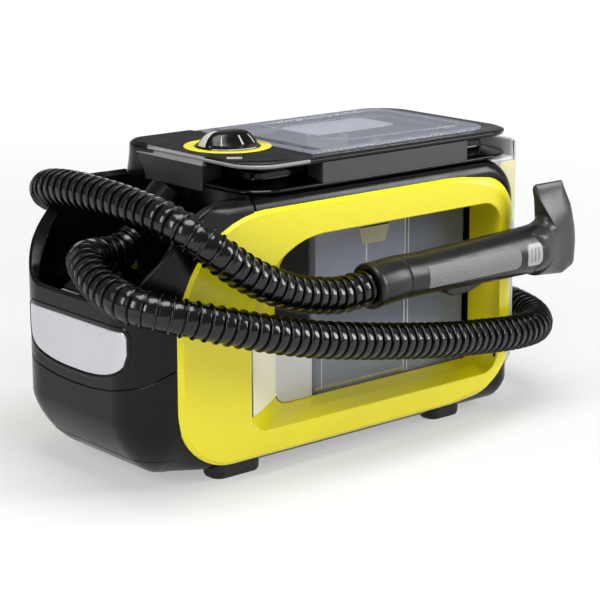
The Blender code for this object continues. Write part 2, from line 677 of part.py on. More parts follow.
HOSE_START = Vector(HOSE_ROUTE[0])
PORT_DIRECTION = (Vector(HOSE_ROUTE[1]) - HOSE_START).normalized()
PORT_OUT = tuple(HOSE_START - PORT_DIRECTION * GAP)
PORT_IN = tuple(HOSE_START - PORT_DIRECTION * 0.0380)
DUCT_Y = 0.0160
DUCT_Z = 0.2150


def make_port():
    """Collar on the recess wall that the hose plugs into."""
    collar_in = HOSE_START - PORT_DIRECTION * 0.0300
    made = rod("hose_port", PORT_OUT, tuple(collar_in), 0.0185, BLACK, sides=28)
    boolean(made, rod_mesh("bore", tuple(HOSE_START + PORT_DIRECTION * 0.01), PORT_IN, HOSE_BORE_R, sides=16))
    boolean(made, block_mesh((COCKPIT_X - 0.003 - GAP, -0.05, 0.15), (0.0, 0.08, 0.30)))
    boolean(made, block_mesh((-0.2, -0.05, DECK_Z - 0.0005), (0.0, 0.08, 0.30)))
    return made


# ---------------------------------------------------------------- battery
def make_battery():
    floor_z = COCKPIT_FLOOR_Z + 0.0055
    pack = box("battery_pack", (-0.1900, -0.0600, floor_z), (-0.1140, 0.0600, 0.1560), DARK, bevel=0.006)
    boolean(pack, block_mesh((-0.1640, -0.0110, 0.1500), (-0.1400, 0.0110, 0.1700)))
    box("battery_button", (-0.1630, -0.0100, 0.1500 + 0.0035), (-0.1410, 0.0100, 0.1575), YELLOW, bevel=0.001)
    box(
        "battery_contacts", (-0.1800, -0.0450, COCKPIT_FLOOR_Z + GAP),
        (-0.1240, 0.0450, floor_z - GAP), BLACK)


# ---------------------------------------------------------------- motor bay
MOTOR_X = -0.0560


def make_motor_bay():
    motor = rod("suction_motor", (MOTOR_X, 0, 0.0300), (MOTOR_X, 0, 0.0880), 0.0270, STEEL, sides=28)
    boolean(motor, rod_mesh("shaft_bore", (MOTOR_X, 0, 0.0700), (MOTOR_X, 0, 0.10), 0.0034, sides=12))
    mount_top = 0.0300 - GAP
    rod("motor_mount", (MOTOR_X, 0, FLOOR_Z + FLOOR + GAP), (MOTOR_X, 0, mount_top), 0.0300, RUBBER, sides=28)
    turned("fan_housing", [
        (0.0420, 0.1200), (0.0420, 0.0883), (0.0060, 0.0883), (0.0060, 0.0905), (0.0398, 0.0905),
        (0.0398, 0.1178), (0.0140, 0.1178), (0.0140, 0.1200)], BLACK, at=(MOTOR_X, 0, 0), sides=32)
    turned("fan_impeller", [
        (0.0, 0.1150), (0.0060, 0.1150), (0.0120, 0.1000), (0.0360, 0.0975), (0.0360, 0.0945),
        (0.0060, 0.0940), (0.0028, 0.0930), (0.0028, 0.0740), (0.0, 0.0740)],
        COPPER, at=(MOTOR_X, 0, 0), sides=24)
    rod("water_pump", (-0.0980, -0.0435, 0.0420), (-0.0400, -0.0435, 0.0420), 0.0120, COPPER, sides=20)
    box("exhaust_filter", (-0.0980, -0.0500, 0.1300), (-0.0200, 0.0500, 0.1440), FOAM)
    box("control_board", (-0.0960, 0.0530, 0.0300), (-0.0180, 0.0546, 0.1100), BOARD_GREEN)
    duct = [
        (-0.0985, 0.0150, 0.2180), (-0.0830, 0.0152, 0.2165), (-0.0600, 0.0158, DUCT_Z),
        (-0.0380, DUCT_Y, DUCT_Z), (-0.0140, DUCT_Y, DUCT_Z)]
    points, _ = smooth_path(duct, 9)
    tube("suction_duct", points, 0.0125, RUBBER)
    line = [
        (-0.0392, -0.0435, 0.0420), (-0.0330, -0.0435, 0.0416), (-0.0260, -0.0420, 0.0340),
        (-0.0220, -0.0400, 0.0240), (-0.0120, -0.0340, 0.0206),
        (0.0100, COUPLING_Y, 0.0205), (0.0900, COUPLING_Y, 0.0205),
        (0.1500, COUPLING_Y, 0.0205), (0.1800, COUPLING_Y, 0.0208), (0.1896, COUPLING_Y, 0.0258)]
    points, _ = smooth_path(line, 30)
    tube("water_tube", points, 0.0025, GREY)


# ---------------------------------------------------------------- dirty-water tank
def make_dirty_tank():
    wall = 0.0020
    x0, x1 = TANK_X
    tank = prism("dirty_tank", rectangle(TANK_X, sym(TANK_HALF), 0.008), TANK_Z, SMOKE)
    inner = rectangle((x0 + wall, x1 - wall), sym(TANK_HALF - wall), 0.006)
    boolean(tank, prism_mesh(inner, (TANK_Z[0] + wall, 0.30)))
    inlet = ((x0 - 0.01, DUCT_Y, DUCT_Z), (x0 + 0.008, DUCT_Y, DUCT_Z), 0.0100)
    boolean(tank, rod_mesh("inlet_hole", inlet[0], (x0 + 0.004, DUCT_Y, DUCT_Z), 0.0100, sides=16))
    baffle_x = 0.1030
    skin = wall + GAP
    box(
        "tank_baffle", (baffle_x, -TANK_HALF + skin, TANK_Z[0] + skin),
        (baffle_x + wall, TANK_HALF - skin, 0.2150), SMOKE)
    duct_outline = rectangle((x0 + skin, 0.0300), (-0.0300, 0.0330), 0.004)
    duct = prism("inlet_duct", duct_outline, (0.0700, 0.2480), SMOKE)
    bore = rectangle((x0 + skin + 0.0015, 0.0285), (-0.0285, 0.0315), 0.003)
    boolean(duct, prism_mesh(bore, (0.0, 0.2465)))
    boolean(duct, rod_mesh("inlet_hole", *inlet, sides=16))
    lid = prism("tank_lid", rectangle(LID_X, sym(LID_HALF), radii=(0.004, 0.024, 0.024, 0.004)), LID_Z, SMOKE)
    skirt = rectangle((x0 + 0.0055, x1 - 0.0055), sym(TANK_HALF - 0.0055), 0.004)
    boolean(lid, prism_mesh(skirt, (0.2520, LID_Z[0] + 0.0010)), "UNION")
    hollow = rectangle((x0 + 0.0075, x1 - 0.0075), sym(TANK_HALF - 0.0075), 0.003)
    boolean(lid, prism_mesh(hollow, (0.24, LID_Z[0])))
    seal_z = (0.2530, 0.2570)
    seal = rectangle((x0 + skin, x1 - skin), sym(TANK_HALF - skin), 0.0062)
    gasket = prism("lid_gasket", seal, seal_z, RUBBER)
    inside = 0.0055 - GAP
    seal_hole = rectangle((x0 + inside, x1 - inside), sym(TANK_HALF - inside), 0.004)
    boolean(gasket, prism_mesh(seal_hole, (0.24, 0.27)))
    cage = turned("float_cage", [
        (0.0190, LID_Z[0] - GAP), (0.0190, 0.2000), (0.0085, 0.2000), (0.0085, 0.2020), (0.0170, 0.2020),
        (0.0170, LID_Z[0] - GAP)], GREY, at=(0.0600, 0.0, 0.0), sides=24)
    for k in range(3):
        angle = math.pi * k / 3.0
        slot = block_mesh((-0.03, -0.0050, 0.2060), (0.03, 0.0050, 0.2420))
        slot.transform(Matrix.Rotation(angle, 4, "Z"))
        boolean(cage, slot, parent=cage)
    ball = bmesh.new()
    bmesh.ops.create_uvsphere(ball, u_segments=20, v_segments=12, radius=0.0140)
    bmesh.ops.translate(ball, verts=ball.verts, vec=(0.0600, 0.0, 0.2020 + 0.0140 + GAP))
    place(finish_mesh(ball, "float_ball"), "float_ball", YELLOW, MACHINE, (0.0600, 0.0, 0.2163))


# ---------------------------------------------------------------- clean-water tank
def fresh_profile(inset=0.0):
    x0, x1 = FRESH_X
    return rounded([
        (x0 + inset, FRESH_Z[0] + inset, 0.004), (x1 - inset, FRESH_Z[0] + inset, 0.016 - inset),
        (x1 - inset, FRESH_TOP_Z - inset, 0.0020), (FRESH_NECK_X + inset, FRESH_TOP_Z - inset, 0.0020),
        (FRESH_NECK_X + inset, FRESH_Z[1] - inset, 0.0), (x0 + inset, FRESH_Z[1] - inset, 0.006)], 3)


def make_fresh_tank():
    wall = 0.0018
    tank = prism("fresh_tank", fresh_profile(), sym(FRESH_HALF), CLEAR, "Y")
    boolean(tank, prism_mesh(fresh_profile(wall), sym(FRESH_HALF - wall), "Y"))
    boolean(tank, block_mesh((FRESH_NECK_X + wall, -0.0250, 0.2440), (FRESH_X[1] - wall, 0.0250, 0.26)))
    outlet = ((COUPLING_X, COUPLING_Y, 0.01), (COUPLING_X, COUPLING_Y, 0.04), 0.0046)
    boolean(tank, rod_mesh("outlet", *outlet, sides=12))
    plug = box(
        "filler_plug", (FRESH_NECK_X + 0.0004, -0.0280, FRESH_TOP_Z + GAP),
        (FRESH_X[1] - 0.0004, 0.0280, FRESH_TOP_Z + 0.0040), RUBBER)
    stem = block_mesh(
        (FRESH_NECK_X + wall + GAP, -0.0245, FRESH_TOP_Z - 0.0040),
        (FRESH_X[1] - wall - GAP, 0.0245, FRESH_TOP_Z + 0.0010))
    boolean(plug, stem, "UNION")
    label_y = -FRESH_HALF - GAP
    box("fresh_tank_label", (0.2010, label_y - 0.0006, 0.1700), (0.2210, label_y, 0.2280), LABEL_CREAM)
    rod(
        "tank_coupling", (COUPLING_X, COUPLING_Y, 0.0286),
        (COUPLING_X, COUPLING_Y, FRESH_Z[0] + 0.0040), 0.0032,
        GREY, sides=12)


# ---------------------------------------------------------------- hand tool
def make_hand_tool():
    sleeve = rod_mesh("hose_cuff", (GAP, 0, 0), (0.0497, 0, 0), CUFF_R, 0.0196, 32)
    cuff = place(sleeve, "hose_cuff", BLACK, HAND_TOOL)
    boolean(cuff, rod_mesh("collar", (0.0001 + GAP, 0, 0), (0.0070, 0, 0), 0.0204, 0.0204, 32), "UNION")
    boolean(cuff, rod_mesh("bore", (-0.01, 0, 0), (0.06, 0, 0), HOSE_BORE_R, sides=16))
    u0, u1 = HANDLE_U
    handle = loft("tool_handle", [
        (u0, 0.0, 0.0190, 0.0195), (0.0700, 0.0, 0.0185, 0.0200), (0.1000, 0.0002, 0.0185, 0.0205),
        (0.1500, 0.0000, 0.0190, 0.0210), (0.1800, 0.0, 0.0190, 0.0220),
        (u1, 0.0, 0.0185, 0.0220)], BLACK, HAND_TOOL)
    boolean(handle, rod_mesh("bore", (0.03, 0, 0), (0.23, 0, 0), HOSE_BORE_R, sides=16))
    boolean(handle, block_mesh((0.0700, -0.03, -0.0120), (0.1653, -0.0172, 0.0090)))
    boolean(handle, block_mesh((0.1697, -0.03, -0.0113), (0.1873, -0.0150, 0.0088)))
    boolean(handle, block_mesh((0.0880, -0.0065, -0.03), (0.1320, 0.0065, -0.0136)))
    box(
        "grip_inlay", (0.0703, -0.0190, -0.0117), (0.1650, -0.0172 - GAP, 0.0087),
        GRIP, HAND_TOOL, bevel=0.0008)
    box("nozzle_button", (0.1700, -0.0198, -0.0110), (0.1870, -0.0168, 0.0085), GREY, HAND_TOOL, bevel=0.0008)
    trigger = prism("spray_trigger", rounded([
        (0.0892, -0.0170, 0.0), (0.1305, -0.0170, 0.0), (0.1305, -0.0235, 0.003), (0.1150, -0.0265, 0.006),
        (0.0960, -0.0250, 0.004), (0.0892, -0.0205, 0.002)], 3), sym(0.0058), GREY, "Y", HAND_TOOL)
    pin_hole = rod_mesh("pin_bore", (0.0925, -0.02, -0.0195), (0.0925, 0.02, -0.0195), 0.0013, sides=12)
    boolean(trigger, pin_hole)
    rod(
        "trigger_pin", (0.0925, -0.0060, -0.0195), (0.0925, 0.0060, -0.0195), 0.0010,
        STEEL, sides=12, parent=HAND_TOOL)
    outline = rounded([
        (u1 + GAP, 0.0215, 0.0), (0.2165, 0.0245, 0.010), (0.2040, 0.0460, 0.004), (0.2420, 0.0446, 0.002),
        (0.2520, 0.0230, 0.030), (0.2560, -0.0080, 0.050), (0.2540, -0.0340, 0.004), (0.2395, -0.0412, 0.006),
        (0.1990, -0.0372, 0.002), (u1 + GAP, -0.0215, 0.0)], 4)
    head = prism("nozzle_head", outline, sym(HEAD_HALF), DARK, "Y", HAND_TOOL)
    boolean(head, block_mesh((0.2330, -0.0042, -0.0330), (0.27, 0.0042, 0.0400)))
    boolean(head, rod_mesh("bore", (0.19, 0, 0), (0.2340, 0, 0), 0.0090, sides=16))
    box(
        "spray_jet", (0.2120, -HEAD_HALF - 0.0063, -0.0060), (0.2300, -HEAD_HALF - GAP, 0.0060),
        BLACK, HAND_TOOL, bevel=0.002)


# ---------------------------------------------------------------- hose
def make_hose():
    """Ribbed hose with its bore, one unbroken tube from the port to the cuff."""
    count = 2 * HOSE_RIBS + 1
    points, length = smooth_path(HOSE_ROUTE, count)
    radii = [HOSE_R if i % 2 else HOSE_VALLEY_R for i in range(count)]
    hose = tube("hose", points, radii, HOSE_BLACK)
    mesh = curve_to_mesh(hose)
    made = place(mesh, "hose", HOSE_BLACK, MACHINE)
    bore_points, _ = smooth_path(HOSE_ROUTE, 72)
    first = bore_points[0] + (bore_points[0] - bore_points[1]).normalized() * 0.004
    last = bore_points[-1] + (bore_points[-1] - bore_points[-2]).normalized() * 0.004
    bore = tube("hose_bore", [first, *bore_points, last], HOSE_BORE_R, HOSE_BLACK, resolution=1)
    boolean(made, curve_to_mesh(bore))
    near = 1.0
    apart = int(0.09 / length * count)
    for i in range(0, count):
        for j in range(i + apart, count):
            near = min(near, (points[i] - points[j]).length)
    room = (near - 2 * HOSE_R) * 1000
    print(f"hose length {length:.3f} m, {HOSE_RIBS} ribs, least gap to itself {room:.1f} mm")
    return made


make_base()
make_front_housing()
make_upper_shell()
make_bulkheads()
make_side_parts()
make_rail()
make_rail_panels()
make_dial()
make_nose_details()
make_port()
make_battery()
make_motor_bay()
make_dirty_tank()
make_fresh_tank()
make_hand_tool()
make_hose()
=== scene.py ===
import bmesh
import bpy
import numpy as np
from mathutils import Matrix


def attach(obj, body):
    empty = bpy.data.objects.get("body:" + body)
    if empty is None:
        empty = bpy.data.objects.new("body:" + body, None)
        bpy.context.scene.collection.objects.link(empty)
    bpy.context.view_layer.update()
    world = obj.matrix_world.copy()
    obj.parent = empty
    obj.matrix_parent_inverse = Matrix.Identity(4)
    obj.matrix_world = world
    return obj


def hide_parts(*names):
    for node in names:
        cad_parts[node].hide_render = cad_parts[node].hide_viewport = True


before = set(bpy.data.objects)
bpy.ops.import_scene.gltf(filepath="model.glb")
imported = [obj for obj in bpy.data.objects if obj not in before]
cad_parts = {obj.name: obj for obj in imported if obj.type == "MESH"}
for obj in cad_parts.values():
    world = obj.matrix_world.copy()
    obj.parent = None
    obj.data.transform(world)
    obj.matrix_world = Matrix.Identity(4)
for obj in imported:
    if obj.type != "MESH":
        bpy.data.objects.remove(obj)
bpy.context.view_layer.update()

# %% [markdown]
# ## Three sets of axes
# The drawings are in millimetres, in the machine's own axes: X runs from the nose to the rear, Y
# is sideways with the hand tool on the minus side, Z is up. The hand tool has its own axes, tilted
# by 4.5 degrees. Two functions bring both into the frame's metres.
# %% From millimetres to the frame
MACHINE_AT = np.array((-0.0200, 0.0210, 0.0))
TOOL_AT = np.array((0.0, -119.5, 151.0))
TILT = np.radians(4.5)
TOOL_AXES = np.array(((np.cos(TILT), 0, np.sin(TILT)), (0, 1, 0), (-np.sin(TILT), 0, np.cos(TILT))))


def machine(points):
    """Millimetres in the machine's axes to metres in the frame: p / 1000 + offset."""
    return np.asarray(points, float) / 1000.0 + MACHINE_AT


def tool(points):
    """Millimetres along, across and over the hand tool to metres: at + u U + v V + w W."""
    return machine(TOOL_AT + np.asarray(points, float) @ TOOL_AXES)


print("the hand tool starts at", tool((0, 0, 0)).round(4))

# %% [markdown]
# ## The camera
# A long lens stands well back, 14 degrees above the machine and 40.6 degrees round its near front
# corner, so the upright edges stay nearly parallel, as in a catalogue picture.
# %% Camera
lens = bpy.data.cameras.new("catalogue_camera")
lens.lens = 117.0
lens.sensor_width = 36.0
lens.clip_end = 100.0
camera = bpy.data.objects.new("catalogue_camera", lens)
camera.location = (-1.1047, -1.2772, 0.5447)
camera.rotation_euler = np.radians((75.8, 0.0, -40.6))
bpy.context.scene.collection.objects.link(camera)
bpy.context.scene.camera = camera
print("camera at", tuple(camera.location))

# %% [markdown]
# ## Materials from nodes
# Every finish starts from one shader. A helper adds a node with its settings and links in one
# line, so a material reads like a list of what happens to the surface. Colours are written as a
# painter would note them, and turned into the linear light values that the shader works with.
# %% Colour and node helpers
def light_of(colour):
    """A '#rrggbb' colour as linear light: ((c + 0.055) / 1.055) ** 2.4, or c / 12.92 when dark."""
    c = np.array([int(colour[i:i + 2], 16) for i in (1, 3, 5)]) / 255.0
    return (*np.where(c <= 0.04045, c / 12.92, ((c + 0.055) / 1.055) ** 2.4), 1.0)


def add(tree, kind, inputs=(), **settings):
    """Adds one node: settings are its own choices, inputs are values or sockets to link."""
    made = tree.nodes.new("ShaderNode" + kind)
    for name, value in settings.items():
        setattr(made, name, value)
    for name, value in dict(inputs).items():
        if isinstance(value, bpy.types.NodeSocket):
            tree.links.new(value, made.inputs[name])
        else:
            made.inputs[name].default_value = value
    return made


def varied(tree, at, size, low, high, detail=2.0):
    """A value that drifts between low and high over patches of the given size in millimetres."""
    patches = add(tree, "TexNoise", {"Vector": at, "Scale": 1000.0 / size, "Detail": detail})
    return add(tree, "MapRange", {
        "Value": patches.outputs[0], "From Min": 0.3, "From Max": 0.7,
        "To Min": low, "To Max": high}).outputs["Result"]


def moulded(name, colour, roughness, shade=0.08, grain=0.5, depth=0.004, spread=0.05, slot=None, **sockets):
    """Moulded plastic: slow drifts of tone and gloss, and a fine grain, sized in millimetres. The slot
    argument is not used."""
    made = bpy.data.materials.new(name)
    made.use_nodes = True
    tree = made.node_tree
    shader = tree.nodes["Principled BSDF"]
    at = add(tree, "TexCoord").outputs["Object"]
    base = np.array(light_of(colour))
    dark, pale = base * (1 - shade), np.minimum(base * (1 + shade), 1.0)
    dark[3] = pale[3] = 1.0
    tone = add(tree, "Mix", data_type="RGBA")
    tree.links.new(varied(tree, at, 45.0, 0.0, 1.0), tone.inputs[0])
    tone.inputs[6].default_value, tone.inputs[7].default_value = dark, pale
    tree.links.new(tone.outputs[2], shader.inputs["Base Color"])
    tree.links.new(varied(tree, at, 22.0, roughness - spread, roughness + spread), shader.inputs["Roughness"])
    pits = add(tree, "TexNoise", {"Vector": at, "Scale": 1000.0 / grain, "Detail": 3.0})
    bump = add(tree, "Bump", {"Height": pits.outputs[0], "Strength": 0.35, "Distance": depth / 1000.0})
    tree.links.new(bump.outputs["Normal"], shader.inputs["Normal"])
    for socket, value in sockets.items():
        shader.inputs[socket.replace("_", " ")].default_value = value
    made.diffuse_color = (*base[:3], 1.0)
    return made


# Satin ABS shows broad soft highlights, polished ABS mirrors the lamps, and a spark-eroded mould
# leaves it dull. The yellow and the dark grey are the same plastic with other pigments.
BLACK = moulded("black ABS, satin", "#040405", 0.26, IOR=1.5, Specular_IOR_Level=0.24, slot="black_plastic")
BLACK_GLOSS = moulded("black ABS, polished", "#020202", 0.14, spread=0.03, grain=0.8, depth=0.002, IOR=1.5,
                      Specular_IOR_Level=0.24, slot="black_plastic")
BLACK_MATT = moulded("black ABS, spark-eroded", "#060606", 0.45, grain=0.35, depth=0.02, IOR=1.5,
                     Specular_IOR_Level=0.25, slot="black_plastic")
YELLOW = moulded("yellow ABS", "#ECE00C", 0.3, shade=0.012, spread=0.02, IOR=1.54, slot="yellow_plastic")
PANEL_GREY = moulded("dark grey ABS, fine grain", "#2B2D2C", 0.5, grain=0.4, depth=0.015, IOR=1.54,
                     slot="dark_grey_plastic")
print(len(bpy.data.materials), "materials so far")

# %% [markdown]
# ## Surfaces from numbers
# A piece is one or more grids of points. Most of them are a profile carried round an outline: the
# outline is a rounded polygon with the outward direction at each of its points, and the profile
# says how far to step out or in, and how high. Fillets are arcs in the profile. One extra point
# close to each arc keeps the flat faces beside it flat in the shading.
# %% Outlines and grids
def unit(vectors):
    """Vectors divided by their own lengths."""
    return vectors / np.maximum(np.linalg.norm(vectors, axis=-1, keepdims=True), 1e-12)


def rounded(corners, arc=8, edge=1, support=0.4):
    """Points and outward normals of a closed outline of corners (x, y, radius), anticlockwise.

    Each corner is the arc centre + radius (cos a, sin a) between its tangent points, with a support
    point beside each end; each edge between two corners gets evenly spaced points."""
    corners = np.asarray(corners, float)
    here, radius = corners[:, :2], np.maximum(corners[:, 2], 0.01)
    before, after = unit(np.roll(here, 1, 0) - here), unit(np.roll(here, -1, 0) - here)
    half = np.arccos(np.clip((before * after).sum(1), -1, 1)) / 2
    convex = np.sign(after[:, 0] * before[:, 1] - after[:, 1] * before[:, 0])
    reach = radius / np.tan(half)
    centre = here + unit(before + after) * (radius / np.sin(half))[:, None]
    start = here + before * reach[:, None] - centre
    end = here + after * reach[:, None] - centre
    turn = np.arctan2(start[:, 0] * end[:, 1] - start[:, 1] * end[:, 0], (start * end).sum(1))
    angle = turn[:, None] * np.linspace(0, 1, arc + 1)
    across = np.stack((-start[:, 1], start[:, 0]), -1)
    radial = start[:, None] * np.cos(angle)[..., None] + across[:, None] * np.sin(angle)[..., None]
    normal = unit(radial) * convex[:, None, None]
    points = centre[:, None] + radial
    first = points[:, :1] + before[:, None] * support
    last = points[:, -1:] + after[:, None] * support
    points = np.concatenate((first, points, last), 1)
    normal = np.concatenate((normal[:, :1], normal, normal[:, -1:]), 1)
    share = np.linspace(0, 1, edge + 2)[None, 1:-1, None]
    following = np.roll(points[:, :1], -1, 0)
    between = points[:, -1:] * (1 - share) + following * share
    points = np.concatenate((points, between), 1).reshape(-1, 2)
    normal = np.concatenate((normal, np.repeat(normal[:, -1:], edge, 1)), 1).reshape(-1, 2)
    return points, normal


def rectangle(x_range, y_range, radii, **steps):
    """A rounded rectangle; radii go round from low-low, high-low, high-high to low-high."""
    radii = radii if isinstance(radii, tuple) else (radii,) * 4
    (x0, x1), (y0, y1) = x_range, y_range
    return rounded([(x0, y0, radii[0]), (x1, y0, radii[1]), (x1, y1, radii[2]), (x0, y1, radii[3])], **steps)


def profile(corners, arc=4, support=0.3):
    """An open line of (step, height) from corners (step, height, radius), arcs at its bends."""
    points, _ = rounded(corners, arc=arc, edge=0, support=support)
    bends = points.reshape(len(corners), arc + 3, 2)[1:-1].reshape(-1, 2)
    ends = np.asarray(corners, float)[[0, -1], :2]
    return np.vstack((ends[:1], bends, ends[1:]))


def on_axis(flat, height, axis):
    """Points of a drawing, lifted along an axis: XY along Z, XZ along Y, or YZ along X."""
    u, v = flat[..., 0], flat[..., 1]
    height = np.broadcast_to(height, u.shape)
    return np.stack({"Z": (u, v, height), "Y": (u, height, v), "X": (height, u, v)}[axis], -1)


def sweep(outline, line, axis="Z"):
    """Grid of outline + step * normal, at each height of the profile line."""
    points, normal = outline
    flat = points[None] + line[:, 0][:, None, None] * normal[None]
    return on_axis(flat, line[:, 1][:, None], axis)


def swept(outline, line, axis="Z"):
    """The same in metres, with the letters that close it: across, and at both ends."""
    return machine(sweep(outline, line, axis)), "caz"


def quads(rows, columns, close_rows, close_columns):
    """Numbers of the four points round each cell of a grid, closed on itself where asked."""
    i = np.arange(rows if close_rows else rows - 1)[:, None]
    j = np.arange(columns if close_columns else columns - 1)[None, :]
    below, right = (i + 1) % rows * columns, (j + 1) % columns
    cells = np.broadcast_arrays(i * columns + j, below + j, below + right, i * columns + right)
    return np.stack(cells, -1).reshape(-1, 4)


def piece(name, body, finish, *grids, stands_for=(), crease=30.0):
    """An object of one or more grids. A grid is (points, closing), where closing names what is
    closed: r for rows, c for columns, a for a cap at the first row, z for one at the last."""
    vertices, faces, start = [], [], 0
    for points, closing in grids:
        rows, columns = points.shape[:2]
        vertices.append(points.reshape(-1, 3))
        faces += (quads(rows, columns, "r" in closing, "c" in closing) + start).tolist()
        faces += [(start + np.arange(columns)).tolist()] if "a" in closing else []
        faces += [(start + (rows - 1) * columns + np.arange(columns)).tolist()] if "z" in closing else []
        start += rows * columns
    mesh = bpy.data.meshes.new(name)
    mesh.from_pydata(np.concatenate(vertices).tolist(), [], faces)
    sewn = bmesh.new()
    sewn.from_mesh(mesh)
    bmesh.ops.remove_doubles(sewn, verts=sewn.verts, dist=2e-6)
    bmesh.ops.dissolve_degenerate(sewn, edges=sewn.edges, dist=2e-6)
    bmesh.ops.recalc_face_normals(sewn, faces=sewn.faces)
    sewn.to_mesh(mesh)
    sewn.free()
    mesh.shade_smooth()
    mesh.set_sharp_from_angle(angle=np.radians(crease))
    mesh.materials.append(finish)
    made = bpy.data.objects.new(name, mesh)
    bpy.context.scene.collection.objects.link(made)
    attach(made, body)
    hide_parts(*stands_for)
    print(f"{name}: {len(mesh.polygons)} faces")
    return made


# %% [markdown]
# ## The suction hose
# A ribbed hose is a thin plain tube with a narrow ridge at every centimetre, which keeps it round
# in a bend. Here a smooth line runs through the route's points, evenly measured, and the hose's
# radius is read from the shape of one rib, repeated along the whole length. A curve with a bevel
# would be quicker, but could not carry the ridges.
# %% Route of the hose
HOSE_ROUTE = np.array((
    (-0.1215, 0.015, 0.2115), (-0.133, 0.0155, 0.2005), (-0.1445, 0.016, 0.1895), (-0.162, 0.015, 0.1815),
    (-0.187, 0.010, 0.1830), (-0.207, -0.005, 0.1850), (-0.218, -0.027, 0.1810), (-0.2245, -0.055, 0.1735),
    (-0.225, -0.086, 0.1680),
    (-0.208, -0.112, 0.1610), (-0.179, -0.127, 0.1525), (-0.140, -0.1365, 0.1405), (-0.090, -0.141, 0.1265),
    (-0.032, -0.142, 0.1140), (0.030, -0.1395, 0.1025), (0.085, -0.135, 0.0930), (0.135, -0.1275, 0.0855),
    (0.185, -0.1195, 0.0790), (0.225, -0.106, 0.0755), (0.254, -0.077, 0.0750), (0.269, -0.040, 0.0760),
    (0.272, 0.000, 0.0785), (0.266, 0.044, 0.0840), (0.248, 0.083, 0.0930), (0.212, 0.1120, 0.1060),
    (0.158, 0.1215, 0.1220), (0.095, 0.1235, 0.1390), (0.020, 0.122, 0.1580), (-0.050, 0.122, 0.1770),
    (-0.100, 0.122, 0.1930), (-0.138, 0.120, 0.2070), (-0.165, 0.109, 0.2200), (-0.180, 0.086, 0.2290),
    (-0.185, 0.058, 0.2335), (-0.186, 0.028, 0.2350), (-0.186, 0.000, 0.2345), (-0.186, -0.028, 0.2335),
    (-0.1855, -0.052, 0.2315), (-0.183, -0.079, 0.2280), (-0.176, -0.1025, 0.2195), (-0.160, -0.118, 0.2040),
    (-0.138, -0.1215, 0.1870), (-0.112, -0.123, 0.1720), (-0.084, -0.1225, 0.1600), (-0.056, -0.121, 0.1530),
    (-0.032, -0.1198, 0.1490), (-0.016, -0.1195, 0.1497), (0.0, -0.1195, 0.1510))) + MACHINE_AT


def smooth_line(route, steps=24):
    """Cubic through every point: p1 h(t) + tangent1 g(t) + p2 h(1 - t) - tangent2 g(1 - t)."""
    padded = np.vstack((route[:1], route, route[-1:]))
    p0, p1, p2, p3 = padded[:-3], padded[1:-2], padded[2:-1], padded[3:]
    span = [np.linalg.norm(b - a, axis=1, keepdims=True) for a, b in ((p0, p1), (p1, p2), (p2, p3))]
    tangent1 = ((p2 - p0) / (span[0] + span[1]) * span[1])[:, None]
    tangent2 = ((p3 - p1) / (span[1] + span[2]) * span[1])[:, None]
    t = (np.arange(steps) / steps)[None, :, None]
    line = p1[:, None] * (2 * t**3 - 3 * t**2 + 1) + tangent1 * (t**3 - 2 * t**2 + t)
    line = line + p2[:, None] * (3 * t**2 - 2 * t**3) + tangent2 * (t**3 - t**2)
    return np.vstack((line.reshape(-1, 3), route[-1:]))


def measured(line):
    """Distance along a line of points, from its first point."""
    return np.concatenate(([0.0], np.cumsum(np.linalg.norm(np.diff(line, axis=0), axis=1))))


def tube(line, place, radius, sides=32):
    """Grid of circles about a line: p + radius (side cos a + up sin a), square to its direction."""
    far = measured(line)
    centre = np.stack([np.interp(place, far, line[:, k]) for k in range(3)], -1)
    along = unit(np.gradient(line, far, axis=0))
    along = unit(np.stack([np.interp(place, far, along[:, k]) for k in range(3)], -1))
    side = unit(np.cross(along, (0.0, 0.0, 1.0)))
    up = np.cross(side, along)
    angle = np.linspace(0, 2 * np.pi, sides, endpoint=False)
    ring = side[:, None] * np.cos(angle)[None, :, None] + up[:, None] * np.sin(angle)[None, :, None]
    return centre[:, None] + np.asarray(radius)[:, None, None] * ring


hose_line = smooth_line(HOSE_ROUTE)
HOSE_LENGTH = measured(hose_line)[-1]
print(f"hose {HOSE_LENGTH:.3f} m")

# %% Ribs of the hose
RIBS = 174
# Each pair is a place along one rib, from 0 to 1, and the radius there in millimetres.
ONE_RIB = np.array((
    (0.00, 14.3), (0.15, 14.3), (0.28, 14.2), (0.36, 13.8), (0.395, 13.8), (0.415, 14.7), (0.43, 15.5),
    (0.46, 15.9), (0.50, 16.0), (0.54, 15.9), (0.57, 15.5), (0.585, 14.7), (0.605, 13.8), (0.64, 13.8),
    (0.72, 14.2), (0.85, 14.3)))
place = ((np.arange(RIBS)[:, None] + ONE_RIB[None, :, 0]) / RIBS * HOSE_LENGTH).ravel()
radius = np.tile(ONE_RIB[:, 1], RIBS) / 1000.0
HOSE_BLACK = moulded("black EVA hose", "#030303", 0.17, shade=0.1, spread=0.02, grain=1.2, depth=0.004,
                     IOR=1.49, slot="hose_black")
hose = piece("suction_hose", "machine_body", HOSE_BLACK, (tube(hose_line, place, radius), "caz"),
             stands_for=["hose"], crease=60)

